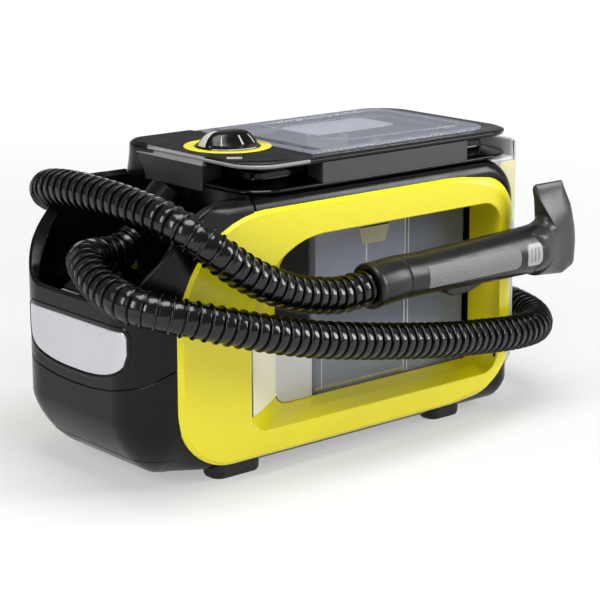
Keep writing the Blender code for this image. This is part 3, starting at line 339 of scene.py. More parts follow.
# %% [markdown]
# ## Floor and light
# The machine stands on a plain white floor that runs far back, so it fills the picture behind the
# machine. Three large soft lamps and a pale sky light the machine at a level where a colour renders
# about as it is written. For the camera and in reflections, half of the floor's light is its own
# glow, which grows with the distance from the machine: white far out, with a soft shadow near it.
# %% Floor
bpy.context.scene.view_settings.view_transform = "Standard"
floor_mesh = bpy.data.meshes.new("studio_floor")
floor_mesh.from_pydata([(-20, -20, 0), (20, -20, 0), (20, 30, 0), (-20, 30, 0)], [], [(0, 1, 2, 3)])
floor = bpy.data.objects.new("studio_floor", floor_mesh)
bpy.context.scene.collection.objects.link(floor)
paper = bpy.data.materials.new("white studio paper")
paper.use_nodes = True
tree = paper.node_tree
matt = tree.nodes["Principled BSDF"]
matt.inputs["Base Color"].default_value = light_of("#F2F2F2")
matt.inputs["Roughness"].default_value = 0.8
matt.inputs["Specular IOR Level"].default_value = 0.1
rays = add(tree, "LightPath")
seen = add(tree, "Math", {0: rays.outputs["Is Camera Ray"], 1: rays.outputs["Is Glossy Ray"]},
           operation="MAXIMUM")
share = add(tree, "Math", {0: seen.outputs[0], 1: 0.5}, operation="MULTIPLY")
place = add(tree, "VectorMath", {0: add(tree, "TexCoord").outputs["Object"]}, operation="LENGTH")
glow = add(tree, "MapRange", {"Value": place.outputs["Value"], "From Min": 0.25, "From Max": 2.2,
                              "To Min": 0.8, "To Max": 1.85})
white = add(tree, "Emission", {"Color": (1, 1, 1, 1), "Strength": glow.outputs["Result"]})
mix = add(tree, "MixShader", {0: share.outputs[0], 1: matt.outputs[0], 2: white.outputs[0]})
tree.links.new(mix.outputs[0], tree.nodes["Material Output"].inputs["Surface"])
floor_mesh.materials.append(paper)

# %% Sky and lamps
world = bpy.context.scene.world or bpy.data.worlds.new("studio")
bpy.context.scene.world = world
world.use_nodes = True
world.node_tree.nodes["Background"].inputs["Color"].default_value = (1, 1, 1, 1)
world.node_tree.nodes["Background"].inputs["Strength"].default_value = 0.3


def softbox(name, at, towards, width, height, power):
    """A rectangular lamp at a point, turned to shine at another."""
    lamp = bpy.data.lights.new(name, "AREA")
    lamp.shape = "RECTANGLE"
    lamp.size, lamp.size_y = width, height
    lamp.energy = power
    holder = bpy.data.objects.new(name, lamp)
    holder.location = at
    away = np.array(at, float) - np.array(towards, float)
    holder.rotation_euler = (np.arctan2(np.hypot(away[0], away[1]), away[2]), 0.0,
                             np.arctan2(away[0], -away[1]))
    bpy.context.scene.collection.objects.link(holder)
    return holder


softbox("top_softbox", (-0.1, -0.3, 1.5), (0, 0, 0.1), 1.0, 0.7, 17.0)
softbox("right_softbox", (1.3, -1.2, 0.8), (0, 0, 0.1), 0.5, 1.0, 20.0)
softbox("left_softbox", (-1.6, -0.2, 0.9), (-0.1, 0, 0.1), 0.4, 1.0, 13.0)
print("three lamps")

# %% [markdown]
# ## The yellow side frames
# Each side wears a deep yellow frame. Its face is flat, its front edge is chamfered, its rear edge
# is rounded far round the corner, and a sloping tunnel leads in to the window. All loops, from the
# outer edge to the window and back inside, have the same number of points, so they make one grid.
# %% Side frames
STEPS = {"arc": 12, "edge": 8}
FACE = 98.0
frame_edge = rectangle((-182.5, 207.5), (15.7, 226.0), (55.0, 48.0, 42.0, 92.0), **STEPS)
window_edge = rectangle((-108.0, 185.0), (38.0, 198.0), (18.0, 20.0, 22.0, 80.0), **STEPS)
window_mid = rectangle((-81.0, 183.6), (41.6, 196.2), (15.0, 13.0, 14.0, 66.0), **STEPS)
window_inner = rectangle((-52.0, 183.0), (43.0, 192.5), (12.0, 6.0, 6.0, 50.0), **STEPS)


def eased(x, low, high):
    """0 below low, 1 above high, and 3 t^2 - 2 t^3 between them."""
    t = np.clip((x - low) / (high - low), 0, 1)
    return t * t * (3 - 2 * t)


def frame_face(t):
    """A loop between the outer edge (t = 0) and the face (t = 1): a straight chamfer in front,
    and at the rear a quarter of an ellipse, inset (1 - cos a) and drop (1 - sin a)."""
    edge, normal = frame_edge
    rear = eased(edge[:, 0], 120.0, 196.0)
    inset = 4.5 - 1.5 * np.abs(normal[:, 1]) * (1 - rear) + 11.5 * rear
    angle = t * np.pi / 2
    across = (1 - rear) * t + rear * (1 - np.cos(angle))
    down = (1 - rear) * (1 - t) + rear * (1 - np.sin(angle))
    return edge - normal * (inset * across)[:, None], FACE - (2.8 + 10.0 * rear) * down


def side_frame(side, name):
    """All loops of one frame, from its hidden back edge over the face and down the tunnel."""
    edge, normal = frame_edge
    rear = eased(edge[:, 0], 120.0, 196.0)
    outer, outward = window_edge
    loops = [(edge - normal * 2.4, 92.8 - 10.0 * rear), (edge, 93.0 - 10.0 * rear)]
    loops += [frame_face(t) for t in np.linspace(0, 1, 9)]
    face, _ = frame_face(1.0)
    loops += [(face - normal * 0.5, FACE), (outer + outward * 1.6, FACE), (outer + outward * 1.2, FACE)]
    loops += [(outer + outward * 1.2 * (1 - np.sin(b)), 96.8 + 1.2 * np.cos(b))
              for b in np.radians((25, 55, 90))]
    loops += [(outer + (window_mid[0] - outer) * t, 96.8 - 15.8 * t) for t in (0.03, 0.97, 1.0)]
    loops += [(window_mid[0] + (window_inner[0] - window_mid[0]) * t, 81.0 - 21.0 * t)
              for t in (0.02, 0.98, 1.0)]
    loops += [(window_inner[0] + window_inner[1] * 2.2, 60.0), (window_mid[0] + window_mid[1] * 2.4, 80.0)]
    loops += [(outer + outward * 2.4, 95.4), (edge - normal * (7.0 + 9.0 * rear)[:, None], 95.4)]
    grid = np.stack([on_axis(points, y * side, "Y") for points, y in loops])
    return piece(f"frame_{name}", "machine_body", YELLOW, (machine(grid), "rc"),
                 stands_for=[f"side_frame_{name}"], crease=25)


side_frame(-1, "near")
side_frame(1, "far")

# %% [markdown]
# ## The black body
# The body is a tub, a nose with an open recess for the hose, and a shell over the tanks. In plan it
# is one rounded outline, so each piece is a wall profile carried along a stretch of that outline,
# with heights that change on the way: the parting line dips at the nose, the recess's rim climbs.
# %% Plan of the body
def stretch_of(outline, keep):
    """The part of a closed outline where keep is true, from its first to its last point."""
    points, normal = outline
    first = np.argmax(keep & ~np.roll(keep, 1))
    order = (first + np.arange(len(keep))) % len(keep)
    order = order[keep[order]]
    return points[order], normal[order]


def along_walls(outline, *rows):
    """Grid of wall rows (step, height): each may change along the outline. Rows are columns here."""
    points, normal = outline
    count = len(points)
    lines = [on_axis(points + normal * np.broadcast_to(d, count)[:, None], np.broadcast_to(z, count), "Z")
             for d, z in rows]
    return machine(np.stack(lines, 1))


plan = rounded([(208.5, 94.9, 18.0), (-218.0, 94.9, 44.0), (-218.0, -95.6, 44.0), (208.5, -95.6, 18.0)],
               arc=20, edge=40)
middle = np.abs(plan[0][:, 1])
round_nose = measured(plan[0])
nose_start = round_nose[np.argmin(np.hypot(plan[0][:, 0] + 218.0, plan[0][:, 1]))]
around = np.abs(round_nose - nose_start)
front = 1 - eased(plan[0][:, 0], -182.0, -120.0)
seam_z = np.interp(around, (0, 25, 50, 85, 108, 125), (82.0, 82.8, 86.0, 93.5, 104.0, 110.0))
print("the nose's middle is", round(float(nose_start)), "mm along the plan")

# %% Lower tub
x, y = plan[0].T
open_side = (x > -113.0) & (x < 187.0)
open_rear = (x > 187.0) & (np.abs(y) < 78.6)
top_z = np.where(open_side, 36.2, np.where(open_rear, 27.6, np.where(x > 0, 94.0, seam_z)))
belly_in = 15.0 + 28.0 * front
belly_up = 20.0 + 31.0 * front
bulge = 2 / 1.5  # the belly is a superellipse with exponent 1.5
UNDERSIDE = 8.0
rows = [(-belly_in - 3.0, UNDERSIDE)]
rows += [(-belly_in * (1 - np.cos(a) ** bulge), UNDERSIDE + belly_up * (1 - np.sin(a) ** bulge))
         for a in np.linspace(np.pi / 2, 0, 18)]
rows += [(0.0, UNDERSIDE + belly_up + (top_z - UNDERSIDE - belly_up) * t) for t in (0.03, 0.5)]
rows = [(d, np.minimum(z, top_z - 0.6)) for d, z in rows]
rows += [(0.0, top_z - 0.5), (-0.25, top_z - 0.12), (-0.6, top_z), (-2.5, top_z)]
rows += [(-2.6, np.minimum(UNDERSIDE + belly_up, top_z - 0.5)),
         (-belly_in * 0.35 - 2.7, np.minimum(14.0 + belly_up * 0.2, top_z - 0.8)),
         (-belly_in - 3.0, 11.0)]
tub = along_walls(plan, *rows)
piece("lower_tub", "machine_body", BLACK, (np.swapaxes(tub, 0, 1), "caz"), stands_for=["base_tub"])

# %% Nose and hose recess
nose = stretch_of(plan, x < -96.0)
keep = stretch_of((np.stack((around, x), 1), plan[1]), x < -96.0)[0]
round_s = keep[:, 0]
rim_z = np.interp(round_s, (0, 50, 62, 74.5, 90.5, 133.7, 147.2, 160, 193.7),
                  (157, 157.5, 161, 169, 187, 227, 234.5, 236.6, 236.6))
low_z = np.interp(round_s, (0, 25, 50, 85, 108, 125), (82.0, 82.8, 86.0, 93.5, 104.0, 110.0)) + 0.5
soft = 3.0 + 9.0 * eased(round_s, 140.0, 170.0)
thick = 5.0 + 8.5 * eased(round_s, 45.0, 100.0) + 3.0 * eased(round_s, 140.0, 170.0)
lean = 3.0 * eased(round_s, 45.0, 100.0)
rows = [(-2.5, low_z), (-0.7, low_z), (-0.25, low_z + 0.12), (0.0, low_z + 0.5),
        (0.0, low_z + (rim_z - low_z) * 0.5)]
rows += [(-soft * (1 - np.cos(a)), rim_z - soft * (1 - np.sin(a))) for a in np.linspace(0, np.pi / 2, 9)]
rows += [(-soft - 0.4, rim_z - 0.05), (-thick + 1.6, rim_z - lean + 0.1)]
rows += [(-thick + 1.2 - 1.2 * np.sin(a), rim_z - lean - 1.2 * (1 - np.cos(a)))
         for a in np.linspace(0, np.pi / 2, 4)]
rows += [(-thick, 110.0)]
rows += [(-thick - 8.0 * (1 - np.cos(a)), 109.5 - 8.0 * np.sin(a)) for a in np.linspace(0.2, np.pi / 2, 5)]
rows += [(-40.0, 101.0), (-40.0, 98.5), (-thick - 4.0, 98.5), (-3.0, 100.0 + 6.0 * eased(round_s, 50, 120))]
housing = along_walls(nose, *rows)
piece("nose_housing", "machine_body", BLACK, (housing, "caz"), stands_for=["front_housing"])

# %% Shell over the tanks
side_line = rounded([(-300.0, 60.0, 1.0), (208.5, 60.0, 1.0), (208.5, 236.0, 40.0), (-300.0, 236.0, 1.0)],
                    arc=20, edge=60)
sx, sz = side_line[0].T
shell_line = stretch_of(side_line, (sx > -104.0) & (sz > 96.0))
points, normal = shell_line
grids = []
for side in (-1, 1):
    rows = [(-20.0, 94.3), (-13.5, 94.9)]
    rows += [(-12.0 * (1 - np.sin(a)), 82.9 + 12.0 * np.cos(a)) for a in np.linspace(0, np.pi / 2, 9)]
    rows += [(0.0, 79.6), (-2.4, 79.6), (-2.4, 82.0), (-6.0, 88.0), (-13.0, 92.0), (-20.0, 92.0)]
    lines = [on_axis(points + normal * d, side * y, "Y") for d, y in rows]
    grids.append((machine(np.stack(lines, 1)), "caz"))
piece("tank_shell", "machine_body", BLACK, *grids, stands_for=["upper_shell"], crease=35)

# %% [markdown]
# ## Neck and hose port
# Behind the recess a curved wall carries the control platform. The hose plugs into a collar on it.
# %% Neck
neck_plan = rounded([(-40.0, 90.6, 5.0), (-101.8, 90.6, 30.0), (-101.8, -84.0, 32.0), (-40.0, -84.0, 5.0)],
                    arc=14, edge=6)
nx = neck_plan[0][:, 0]
lower = stretch_of(neck_plan, nx < -88.0)
upper = stretch_of(neck_plan, nx < -45.0)
low_wall = along_walls(lower, (0.5, 101.2), (0.0, 150.0), (0.0, 203.0), (0.0, 206.0), (-2.5, 206.0),
                       (-2.5, 101.2))
high_wall = along_walls(upper, (0.0, 203.5), (0.0, 215.0), (0.0, 236.2), (-2.5, 236.2), (-2.5, 203.5))
piece("neck", "machine_body", BLACK, (low_wall, "caz"), (high_wall, "caz"))

# %% Hose port
port_line = np.array((HOSE_ROUTE[0], HOSE_ROUTE[1]))
out = unit(port_line[1] - port_line[0])
axis_line = np.array([HOSE_ROUTE[0] - out * 0.020, HOSE_ROUTE[0] - out * 0.010, HOSE_ROUTE[0] + out * 0.004])
place_on = np.array((0.0, 0.1, 14.0, 16.5, 17.3, 17.6, 20.0, 21.0, 21.4, 21.4, 19.0, 5.0)) / 1000.0
radii = np.array((17.0, 17.8, 17.8, 17.9, 18.4, 20.2, 20.4, 20.2, 19.6, 17.6, 17.0, 17.0)) / 1000.0
piece("hose_collar", "machine_body", BLACK, (tube(axis_line, place_on, radii, sides=48), "cr"),
      stands_for=["hose_port"])

# %% [markdown]
# ## The hose rail and the control platform
# Round the top runs a rail with two lips and a groove, where the hose is wound. Dark panels close
# the groove in front and along the sides. The same piece is the deck with the dial.
# %% Rail and deck
rail_steps = {"arc": 16, "edge": 14}
rail_edge = rounded([(-102.0, -91.5, 30.0), (216.0, -91.5, 37.0), (216.0, 91.5, 37.0), (-103.5, 94.0, 26.0)],
                    **rail_steps)
tank_hole = rounded([(-21.0, -60.0, 10.0), (184.0, -60.0, 10.0), (184.0, 60.0, 10.0), (-21.0, 60.0, 10.0)],
                    **rail_steps)
lips = profile([
    (-9.0, 261.0, 0), (-5.0, 261.0, 1.5), (-0.4, 259.6, 0.8), (-1.4, 256.4, 0.6), (-22.0, 252.0, 3.0),
    (-22.0, 243.6, 3.0), (-1.4, 239.8, 0.6), (0.0, 238.2, 0.8), (-1.5, 236.4, 0.8), (-9.0, 236.2, 0)], arc=5)
lip_rows = sweep(rail_edge, lips)
hole, outward = tank_hole
inner_rows = [(hole, 236.4), (hole, 260.3), (hole + outward * 0.2, 260.8), (hole + outward * 0.7, 261.0)]
inner_rows = np.stack([on_axis(points, z, "Z") for points, z in inner_rows])
deck = np.concatenate((inner_rows, lip_rows))
piece("hose_rail", "machine_body", BLACK_GLOSS, (machine(deck), "rc"), stands_for=["top_rail"])
platform = rounded([(-100.0, -80.0, 50.0), (-25.0, -80.0, 3.0), (-25.0, 90.0, 3.0), (-100.0, 90.0, 22.0)],
                   arc=18, edge=6)
plate_line = profile([(-1.5, 260.5, 0), (0.4, 260.5, 0.1), (-0.3, 262.0, 0.5), (-4.0, 262.2, 0)], arc=4)
piece("deck_plate", "machine_body", BLACK_MATT, swept(platform, plate_line))

# %% Panels in the groove
def flush_panel(name, node, along, height, outer, side, axis, radii):
    """A panel with softened edges, from its outer plane 20 mm into the groove."""
    edge = rectangle(along, height, radii, arc=8, edge=2)
    line = profile([(-0.5, outer, 0), (0.0, outer, 0.2), (0.0, outer - side * 20.0, 0)], arc=4)
    return piece(name, "machine_body", PANEL_GREY, swept(edge, line, axis), stands_for=[node])


flush_panel("panel_near", "rail_panel_near", (-25.0, 146.0), (239.0, 256.4), -91.3, -1, "Y", 0.6)
flush_panel("panel_far", "rail_panel_far", (-25.0, 146.0), (239.0, 256.4), 91.3, 1, "Y", 0.6)
flush_panel("panel_front", "rail_panel_front", (-27.5, 66.0), (232.6, 254.2), -103.2, -1, "X",
            (0.8, 10.0, 10.0, 0.8))
# The pale grey strips on the front chamfer and along the upper lip's edge are painted highlights on the
# rail's top edge.
strip = [((-27.5, 66.0), -103.2, 254.0), ((-27.5, 60.0), -102.6, 256.5), ((-27.5, 52.0), -100.5, 261.5),
         ((-27.5, 52.0), -98.0, 261.6)]
strip += [((-27.5, 52.0), -98.0, 258.0), ((-27.5, 66.0), -98.0, 254.0)]
grid = np.array([[(x, ya, z), (x, yb, z)] for (ya, yb), x, z in strip])
RAIL_EDGE_HIGHLIGHT = moulded("grey ABS, polished lip", "#8E908E", 0.3, IOR=1.54, slot="light_grey_plastic")
edge_line = stretch_of(rail_edge, (rail_edge[0][:, 1] < 52.0) & (rail_edge[0][:, 0] < -28.0))
lip = along_walls(edge_line, (-1.4, 257.2), (-0.6, 258.2), (-0.25, 259.0), (-0.3, 259.8), (-1.4, 260.6),
                  (-2.0, 259.0))
piece("lip_edge", "machine_body", RAIL_EDGE_HIGHLIGHT, (lip, "caz"))
piece("front_strip", "machine_body", RAIL_EDGE_HIGHLIGHT, (machine(np.swapaxes(grid, 0, 1)), "caz"), crease=20)

# %% Column at the far front corner
# Seen from the recess, the platform's far corner runs down in one smooth column that widens below.
rx, ry = rail_edge[0].T
column_line = stretch_of(rail_edge, ((rx < -101.0) & (ry > 38.0)) | ((ry > 60.0) & (rx < -60.0)))
wide = eased(column_line[0][:, 1], 45.0, 84.0)
rows = [(-10.0, 203.0), (11.0 * wide - 0.3, 203.0)]
rows += [(11.0 * wide * (1 - t) ** 1.6 - 0.3, 203.0 + 54.0 * t) for t in np.linspace(0.04, 1, 12)]
rows += [(-0.6, 259.4), (-1.6, 260.6), (-3.0, 261.1), (-10.0, 261.1)]
column = along_walls(column_line, *rows)
piece("corner_column", "machine_body", BLACK, (column, "caz"), crease=40)
# %% [markdown]
# ## Dial, index mark and nameplate
# The dial is a yellow ring round a black knob. The knob is a stack of superellipses that shrink
# towards the top: (x / a)^n + (y / b)^n = 1. The same formula places its pale pointer, pale lines along its
# grooves, and a painted highlight round its near foot.
# %% Dial ring
DIAL = np.array((-54.0, 0.0))
circle = np.linspace(0, 2 * np.pi, 96, endpoint=False)
round_out = (DIAL + 38.0 * np.stack((np.cos(circle), np.sin(circle)), -1),
             np.stack((np.cos(circle), np.sin(circle)), -1))
ring_line = profile([(-9.2, 260.4, 0), (0.0, 260.4, 0.2), (0.0, 262.9, 0.9), (-9.2, 262.5, 0.5),
                     (-9.2, 260.6, 0)], arc=4)
DIAL_YELLOW = moulded("yellow ABS, gloss", "#F6E80A", 0.22, shade=0.01, spread=0.02, IOR=1.54,
                      slot="yellow_plastic")
piece("dial_ring_top", "machine_body", DIAL_YELLOW, (machine(sweep(round_out, ring_line)), "rc"),
      stands_for=["dial_ring"])

# %% Dial knob
LEVELS = np.array((
    (261.0, 27.8, 27.8), (262.0, 28.2, 28.2), (262.9, 28.0, 28.0), (263.4, 27.4, 27.0), (263.8, 26.9, 19.5),
    (264.3, 26.8, 17.6),
    (266.5, 25.9, 15.6), (269.5, 23.9, 13.4), (272.3, 21.2, 11.4), (274.3, 18.2, 9.4), (275.4, 15.0, 7.2),
    (275.9, 11.0, 5.0),
    (276.0, 5.0, 2.0)))


def knob_at(angle, z, lift=0.0):
    """A point of the knob: x = a |cos|^(2/n), y = b |sin|^(2/n), with a and b read at height z."""
    a, b = (np.interp(z, LEVELS[:, 0], LEVELS[:, k]) + lift for k in (1, 2))
    n = np.interp(z, (263.0, 265.0), (2.0, 2.7))
    c, s = np.cos(angle), np.sin(angle)
    x = a * np.sign(c) * np.abs(c) ** (2 / n)
    y = b * np.sign(s) * np.abs(s) ** (2 / n)
    turn = np.radians(-6.0)
    return np.stack((DIAL[0] + x * np.cos(turn) - y * np.sin(turn), DIAL[1] + x * np.sin(turn) + y
                     * np.cos(turn),
                     np.broadcast_to(z + 0.5 * lift, x.shape)), -1)


def knob_band(angles, heights, lift):
    """A thin band on the knob between two angles, with a back inside the knob, so it is closed."""
    bow = np.sin(np.linspace(0, np.pi, len(angles))) ** 0.3
    top = np.stack([knob_at(angles, np.full(len(angles), z), 0.0) * (1 - bow[:, None]) +
                    knob_at(angles, np.full(len(angles), z), lift) * bow[:, None] for z in heights])
    back = np.stack([knob_at(angles, np.full(len(angles), z), -0.8) for z in heights[::-1]])
    return machine(np.concatenate((top, back))), "raz"


turns = np.linspace(0, 2 * np.pi, 128, endpoint=False)
heights = np.concatenate((LEVELS[:6, 0], np.linspace(264.6, 274.3, 14), np.linspace(274.6, 276.0, 8)))
body_rows = np.stack([knob_at(turns, np.full(128, z)) for z in heights])
KNOB_BLACK = moulded("black ABS, hand-polished", "#040404", 0.2, spread=0.03, IOR=1.5, Specular_IOR_Level=0.3,
                     slot="black_plastic")
piece("knob", "dial", KNOB_BLACK, (machine(body_rows), "caz"), stands_for=["dial_knob"], crease=40)
PALE_INLAY_AND_HIGHLIGHT = moulded("pale grey ABS inlay and painted highlight", "#B9B8AE", 0.35, IOR=1.54, slot="light_grey_plastic")
bands = [knob_band(np.radians(180 + np.linspace(-13, 13, 9)), np.linspace(264.0, 275.9, 16), 0.35)]
for along in (-7.5, 1.5, 10.0):
    at = np.arctan2(-13.5, along)
    bands.append(knob_band(at + np.radians(np.linspace(-1.7, 1.7, 5)), np.linspace(265.2, 272.5, 8), 0.5))
# The pale band round the knob's near foot is a painted highlight.
bands.append(knob_band(np.radians(270 + np.linspace(-62, 30, 24)), np.array((262.9, 263.2, 263.4)), 0.3))
piece("knob_inlays", "dial", PALE_INLAY_AND_HIGHLIGHT, *bands, crease=40)

# %% Index mark
slant = np.array(((0.76, -0.65), (0.65, 0.76)))
corners = np.array(((-6.4, -3.6), (6.4, -3.6), (6.4, 3.6), (-6.4, 3.6))) @ slant + np.array((-87.5, -51.0))
mark_edge = rounded(np.column_stack((corners, np.full(4, 0.8))), arc=3, edge=0)
mark_line = profile([(-1.0, 261.0, 0), (0.0, 261.0, 0.1), (0.0, 262.7, 0.4), (-1.5, 262.8, 0)], arc=3)
piece("index_plate", "machine_body", PALE_INLAY_AND_HIGHLIGHT, swept(mark_edge, mark_line), stands_for=["index_mark"])

# %% Nameplate
# The plate follows the nose round its corners. Its outline is drawn flat, with the distance along
# the nose s and the height z, and then laid on the wall: the plan gives a point and a normal at s.
wall_s = round_nose - nose_start


def on_nose(s, z, out):
    """Points at distance s along the nose (minus to the far side), height z, lifted by out."""
    points = [np.interp(s, wall_s, plan[0][:, k]) + out * np.interp(s, wall_s, plan[1][:, k]) for k in (0, 1)]
    return machine(np.stack((*points, np.broadcast_to(z, points[0].shape)), -1))


def plate_outline(grow, count=40):
    """Closed D-shape in (s, z): straight top, short ends, and a long curved bottom."""
    share = np.linspace(-1, 1, count)
    low = 119.0 - (24.0 + grow) * (1 - np.abs(share) ** 2.5) ** (1 / 2.3)
    bottom = np.stack((2.0 + (69.0 + grow) * share, low), -1)
    right = np.stack((np.full(4, 71.0 + grow), np.linspace(121.0, 132.0 + grow, 4)), -1)
    corner = np.radians(np.linspace(0, 90, 6))
    top_right = np.stack((66.0 + (5.0 + grow) * np.cos(corner), 133.0 + (5.0 + grow) * np.sin(corner)), -1)
    top = np.stack((np.linspace(62.0, -58.0, count), np.full(count, 138.0 + grow)), -1)
    top_left = np.stack((-62.0 - (5.0 + grow) * np.sin(corner), 133.0 + (5.0 + grow) * np.cos(corner)), -1)
    left = np.stack((np.full(4, -67.0 - grow), np.linspace(132.0 + grow, 121.0, 4)), -1)
    return np.concatenate((bottom, right, top_right, top, top_left, left))


middle_at = np.array((2.0, 119.0))
def plate_rows(grow, shares, outs):
    """Rings of the outline, drawn in towards the middle by a share, each lifted off the wall."""
    edge = plate_outline(grow)
    return np.stack([on_nose(*(middle_at + (edge - middle_at) * share).T, out) for share,
                     out in zip(shares, outs)])


SILVER = moulded("silver-painted ABS", "#CDCED3", 0.33, shade=0.03, Metallic=0.75, slot="nameplate_silver")
shares = (0.99, 1.0, 0.995, 0.985, 0.95, 0.88, 0.75, 0.6, 0.45, 0.3, 0.15, 0.02)
piece("nameplate_face", "machine_body", SILVER,
      (plate_rows(0.0, shares, (-1.0, 0.0, 0.35, 0.5, 0.6, 0.66, *[0.7] * 6)), "caz"),
      stands_for=["nameplate"], crease=50)
rows = np.concatenate((plate_rows(4.2, (1, 1, 1), (-2.0, -0.1, 0.25)), plate_rows(3.4, (1, 1), (0.55, 0.6)),
                       plate_rows(1.0, (1,), (0.5,)), plate_rows(0.5, (1, 1), (0.1, -2.0))))
piece("nameplate_frame", "machine_body", BLACK_GLOSS, (rows, "rc"), stands_for=["nameplate_bezel"], crease=50)

# %% Feet
RUBBER = moulded("black rubber", "#0C0C0C", 0.62, grain=0.8, depth=0.03, IOR=1.52, slot="rubber")
foot_line = profile([(-6.0, 0.05, 0), (-1.2, 0.05, 0.8), (0.0, 2.5, 1.0), (0.4, 12.0, 0), (0.2, 17.0, 0)],
                    arc=4)
for name, x, half, deep in (("front", -112.0, 25.0, 12.5), ("rear", 133.0, 19.0, 11.5)):
    for side, y in (("near", -74.0), ("far", 74.0)):
        foot_edge = rectangle((x - half, x + half), (y - deep, y + deep), 10.0, arc=8, edge=1)
        piece(f"foot_{name}_{side}_sole", "machine_body", RUBBER, swept(foot_edge, foot_line),
              stands_for=[f"foot_{name}_{side}"], crease=40)
# %% [markdown]
# ## The hand tool
# The handle is a loft: an ellipse whose half sizes and centre change along the tool, so its
# centre line sags a little towards the nozzle. The grip inlay and the button are patches, drawn
# flat with a rounded outline and laid on the handle's near side by its own formula.
# %% Cuff and handle
HANDLE = np.array((
    (35.0, 0.0, 19.4, 19.4), (60.0, -2.4, 18.8, 19.0), (90.0, -4.7, 18.6, 19.4), (120.0, -6.9, 18.6, 20.4),
    (160.0, -9.6, 18.9, 21.4), (190.0, -11.6, 19.0, 22.0), (214.0, -13.2, 18.6, 22.4)))


def turned(line, sides=64):
    """Grid round the tool's own line: (u, r cos a, r sin a)."""
    angle = np.linspace(0, 2 * np.pi, sides, endpoint=False)
    u, r = np.asarray(line, float).T
    circle = np.stack((np.cos(angle), np.sin(angle)), -1)
    return tool(np.concatenate((np.broadcast_to(u[:, None, None], (len(u), sides, 1)),
                                r[:, None, None] * circle), -1))


def handle_at(u):
    """Centre and half sizes of the handle at u, read smoothly between the measured stations."""
    return [np.interp(u, HANDLE[:, 0], HANDLE[:, k]) for k in (1, 2, 3)]


def on_handle(u, w, out):
    """Near side of the handle, with w from its centre: v = -a sqrt(1 - (w / b)^2) - out."""
    centre, a, b = handle_at(u)
    v = -a * np.sqrt(np.maximum(1 - (w / b) ** 2, 0.05)) - out
    return tool(np.stack((u, v, w + centre), -1))


def patch(edge, middle, surface, steps):
    """Closed rings of an outline, drawn in to its middle by a share and lifted off a surface."""
    middle = np.asarray(middle, float)
    return np.stack([surface(*(middle + (edge - middle) * share).T, out) for share, out in steps])


HANDLE_BLACK = moulded("black ABS, satin touch", "#131314", 0.33, IOR=1.5, Specular_IOR_Level=0.4,
                       slot="black_plastic")
cuff_line = [(0.3, 15.4), (0.3, 19.0), (0.9, 19.8), (2.0, 20.2), (6.0, 20.2), (6.8, 20.0), (7.2, 19.6),
             (9.0, 19.7), (20.0, 19.7),
             (34.0, 19.6), (34.6, 19.4), (34.75, 18.9), (34.75, 15.4)]
piece("cuff_sleeve", "cuff", HANDLE_BLACK, (turned(cuff_line), "rc"), stands_for=["hose_cuff"], crease=35)
along = np.concatenate(([35.1, 35.1, 35.3, 36.0], np.linspace(38.0, 206.0, 60), [206.9, 207.2, 207.2]))
shrink = np.concatenate(([4.5, 0.7, 0.25, 0.0], np.zeros(60), [0.2, 0.6, 5.0]))
angle = np.linspace(0, 2 * np.pi, 96, endpoint=False)
centre, a, b = (value[:, None] for value in handle_at(along))
v, w = (a - shrink[:, None]) * np.cos(angle), (b - shrink[:, None]) * np.sin(angle) + centre
loft = tool(np.stack((np.broadcast_to(along[:, None], v.shape), v, w), -1))
piece("handle", "machine_body", HANDLE_BLACK, (loft, "caz"), stands_for=["tool_handle"], crease=35)

# %% Grip inlay and button
inlay_edge = rectangle((56.0, 169.5), (-10.0, 10.0), (1.5, 6.0, 6.0, 1.5), arc=10, edge=24)[0]
edge_steps = [(1.0, -0.6), (1.0, 0.25), (0.997, 0.6),
              (0.985, 0.8)] + [(s, 0.85) for s in (0.94, 0.85, 0.7, 0.55, 0.4, 0.25, 0.1, 0.01)]
GRIP = moulded("grey TPE, ribbed grip", "#77787A", 0.5, shade=0.03, grain=0.5, depth=0.01, IOR=1.5,
               slot="grip_rubber")
tree = GRIP.node_tree
at = add(tree, "TexCoord").outputs["Object"]
bent = add(tree, "Mapping", {"Vector": at, "Rotation": (0.0, np.radians(38.0), 0.0)})
waves = add(tree, "TexWave", {"Vector": bent.outputs[0], "Scale": 2 * np.pi / 20 / 0.0024, "Distortion": 0.0,
                              "Detail": 0.0},
            wave_type="BANDS", bands_direction="X", wave_profile="SIN")
ridges = add(tree, "Bump", {"Height": waves.outputs["Fac"], "Strength": 0.6, "Distance": 0.0004})
tree.links.new(ridges.outputs["Normal"], tree.nodes["Principled BSDF"].inputs["Normal"])
piece("grip_patch", "machine_body", GRIP, (patch(inlay_edge, (112.0, 0.0), on_handle, edge_steps), "caz"),
      stands_for=["grip_inlay"], crease=60)
SLIT_PAINTED_SHADE = moulded("black ABS, parting groove", "#020202", 0.6, IOR=1.5, slot="rubber")
BUTTON = moulded("light grey ABS", "#A2A3A4", 0.4, shade=0.02, IOR=1.54, slot="light_grey_plastic")
button_edge = rectangle((178.0, 197.0), (-10.5, 10.5), 4.5, arc=8, edge=10)[0]
BODY_NEAR = [(1.0, -0.6), (1.0, 0.4), (0.985, 0.75),
             (0.95, 0.95)] + [(s, 1.0) for s in (0.85, 0.7, 0.5, 0.3, 0.1)]
ridge_grids = []
for u in (183.0, 187.5, 192.0):
    edge = rectangle((u - 0.75, u + 0.75), (-6.5, 6.5), 0.7, arc=3, edge=8)[0]
    ridge_grids.append((patch(edge, (u, 0.0), on_handle, [(1.0, 0.8), (1.0, 1.5), (0.6, 1.9), (0.05, 2.0)]),
                        "caz"))
piece("button_cap", "tool_button", BUTTON, (patch(button_edge, (187.5, 0.0), on_handle, BODY_NEAR), "caz"),
      *ridge_grids,
      stands_for=["nozzle_button"], crease=50)

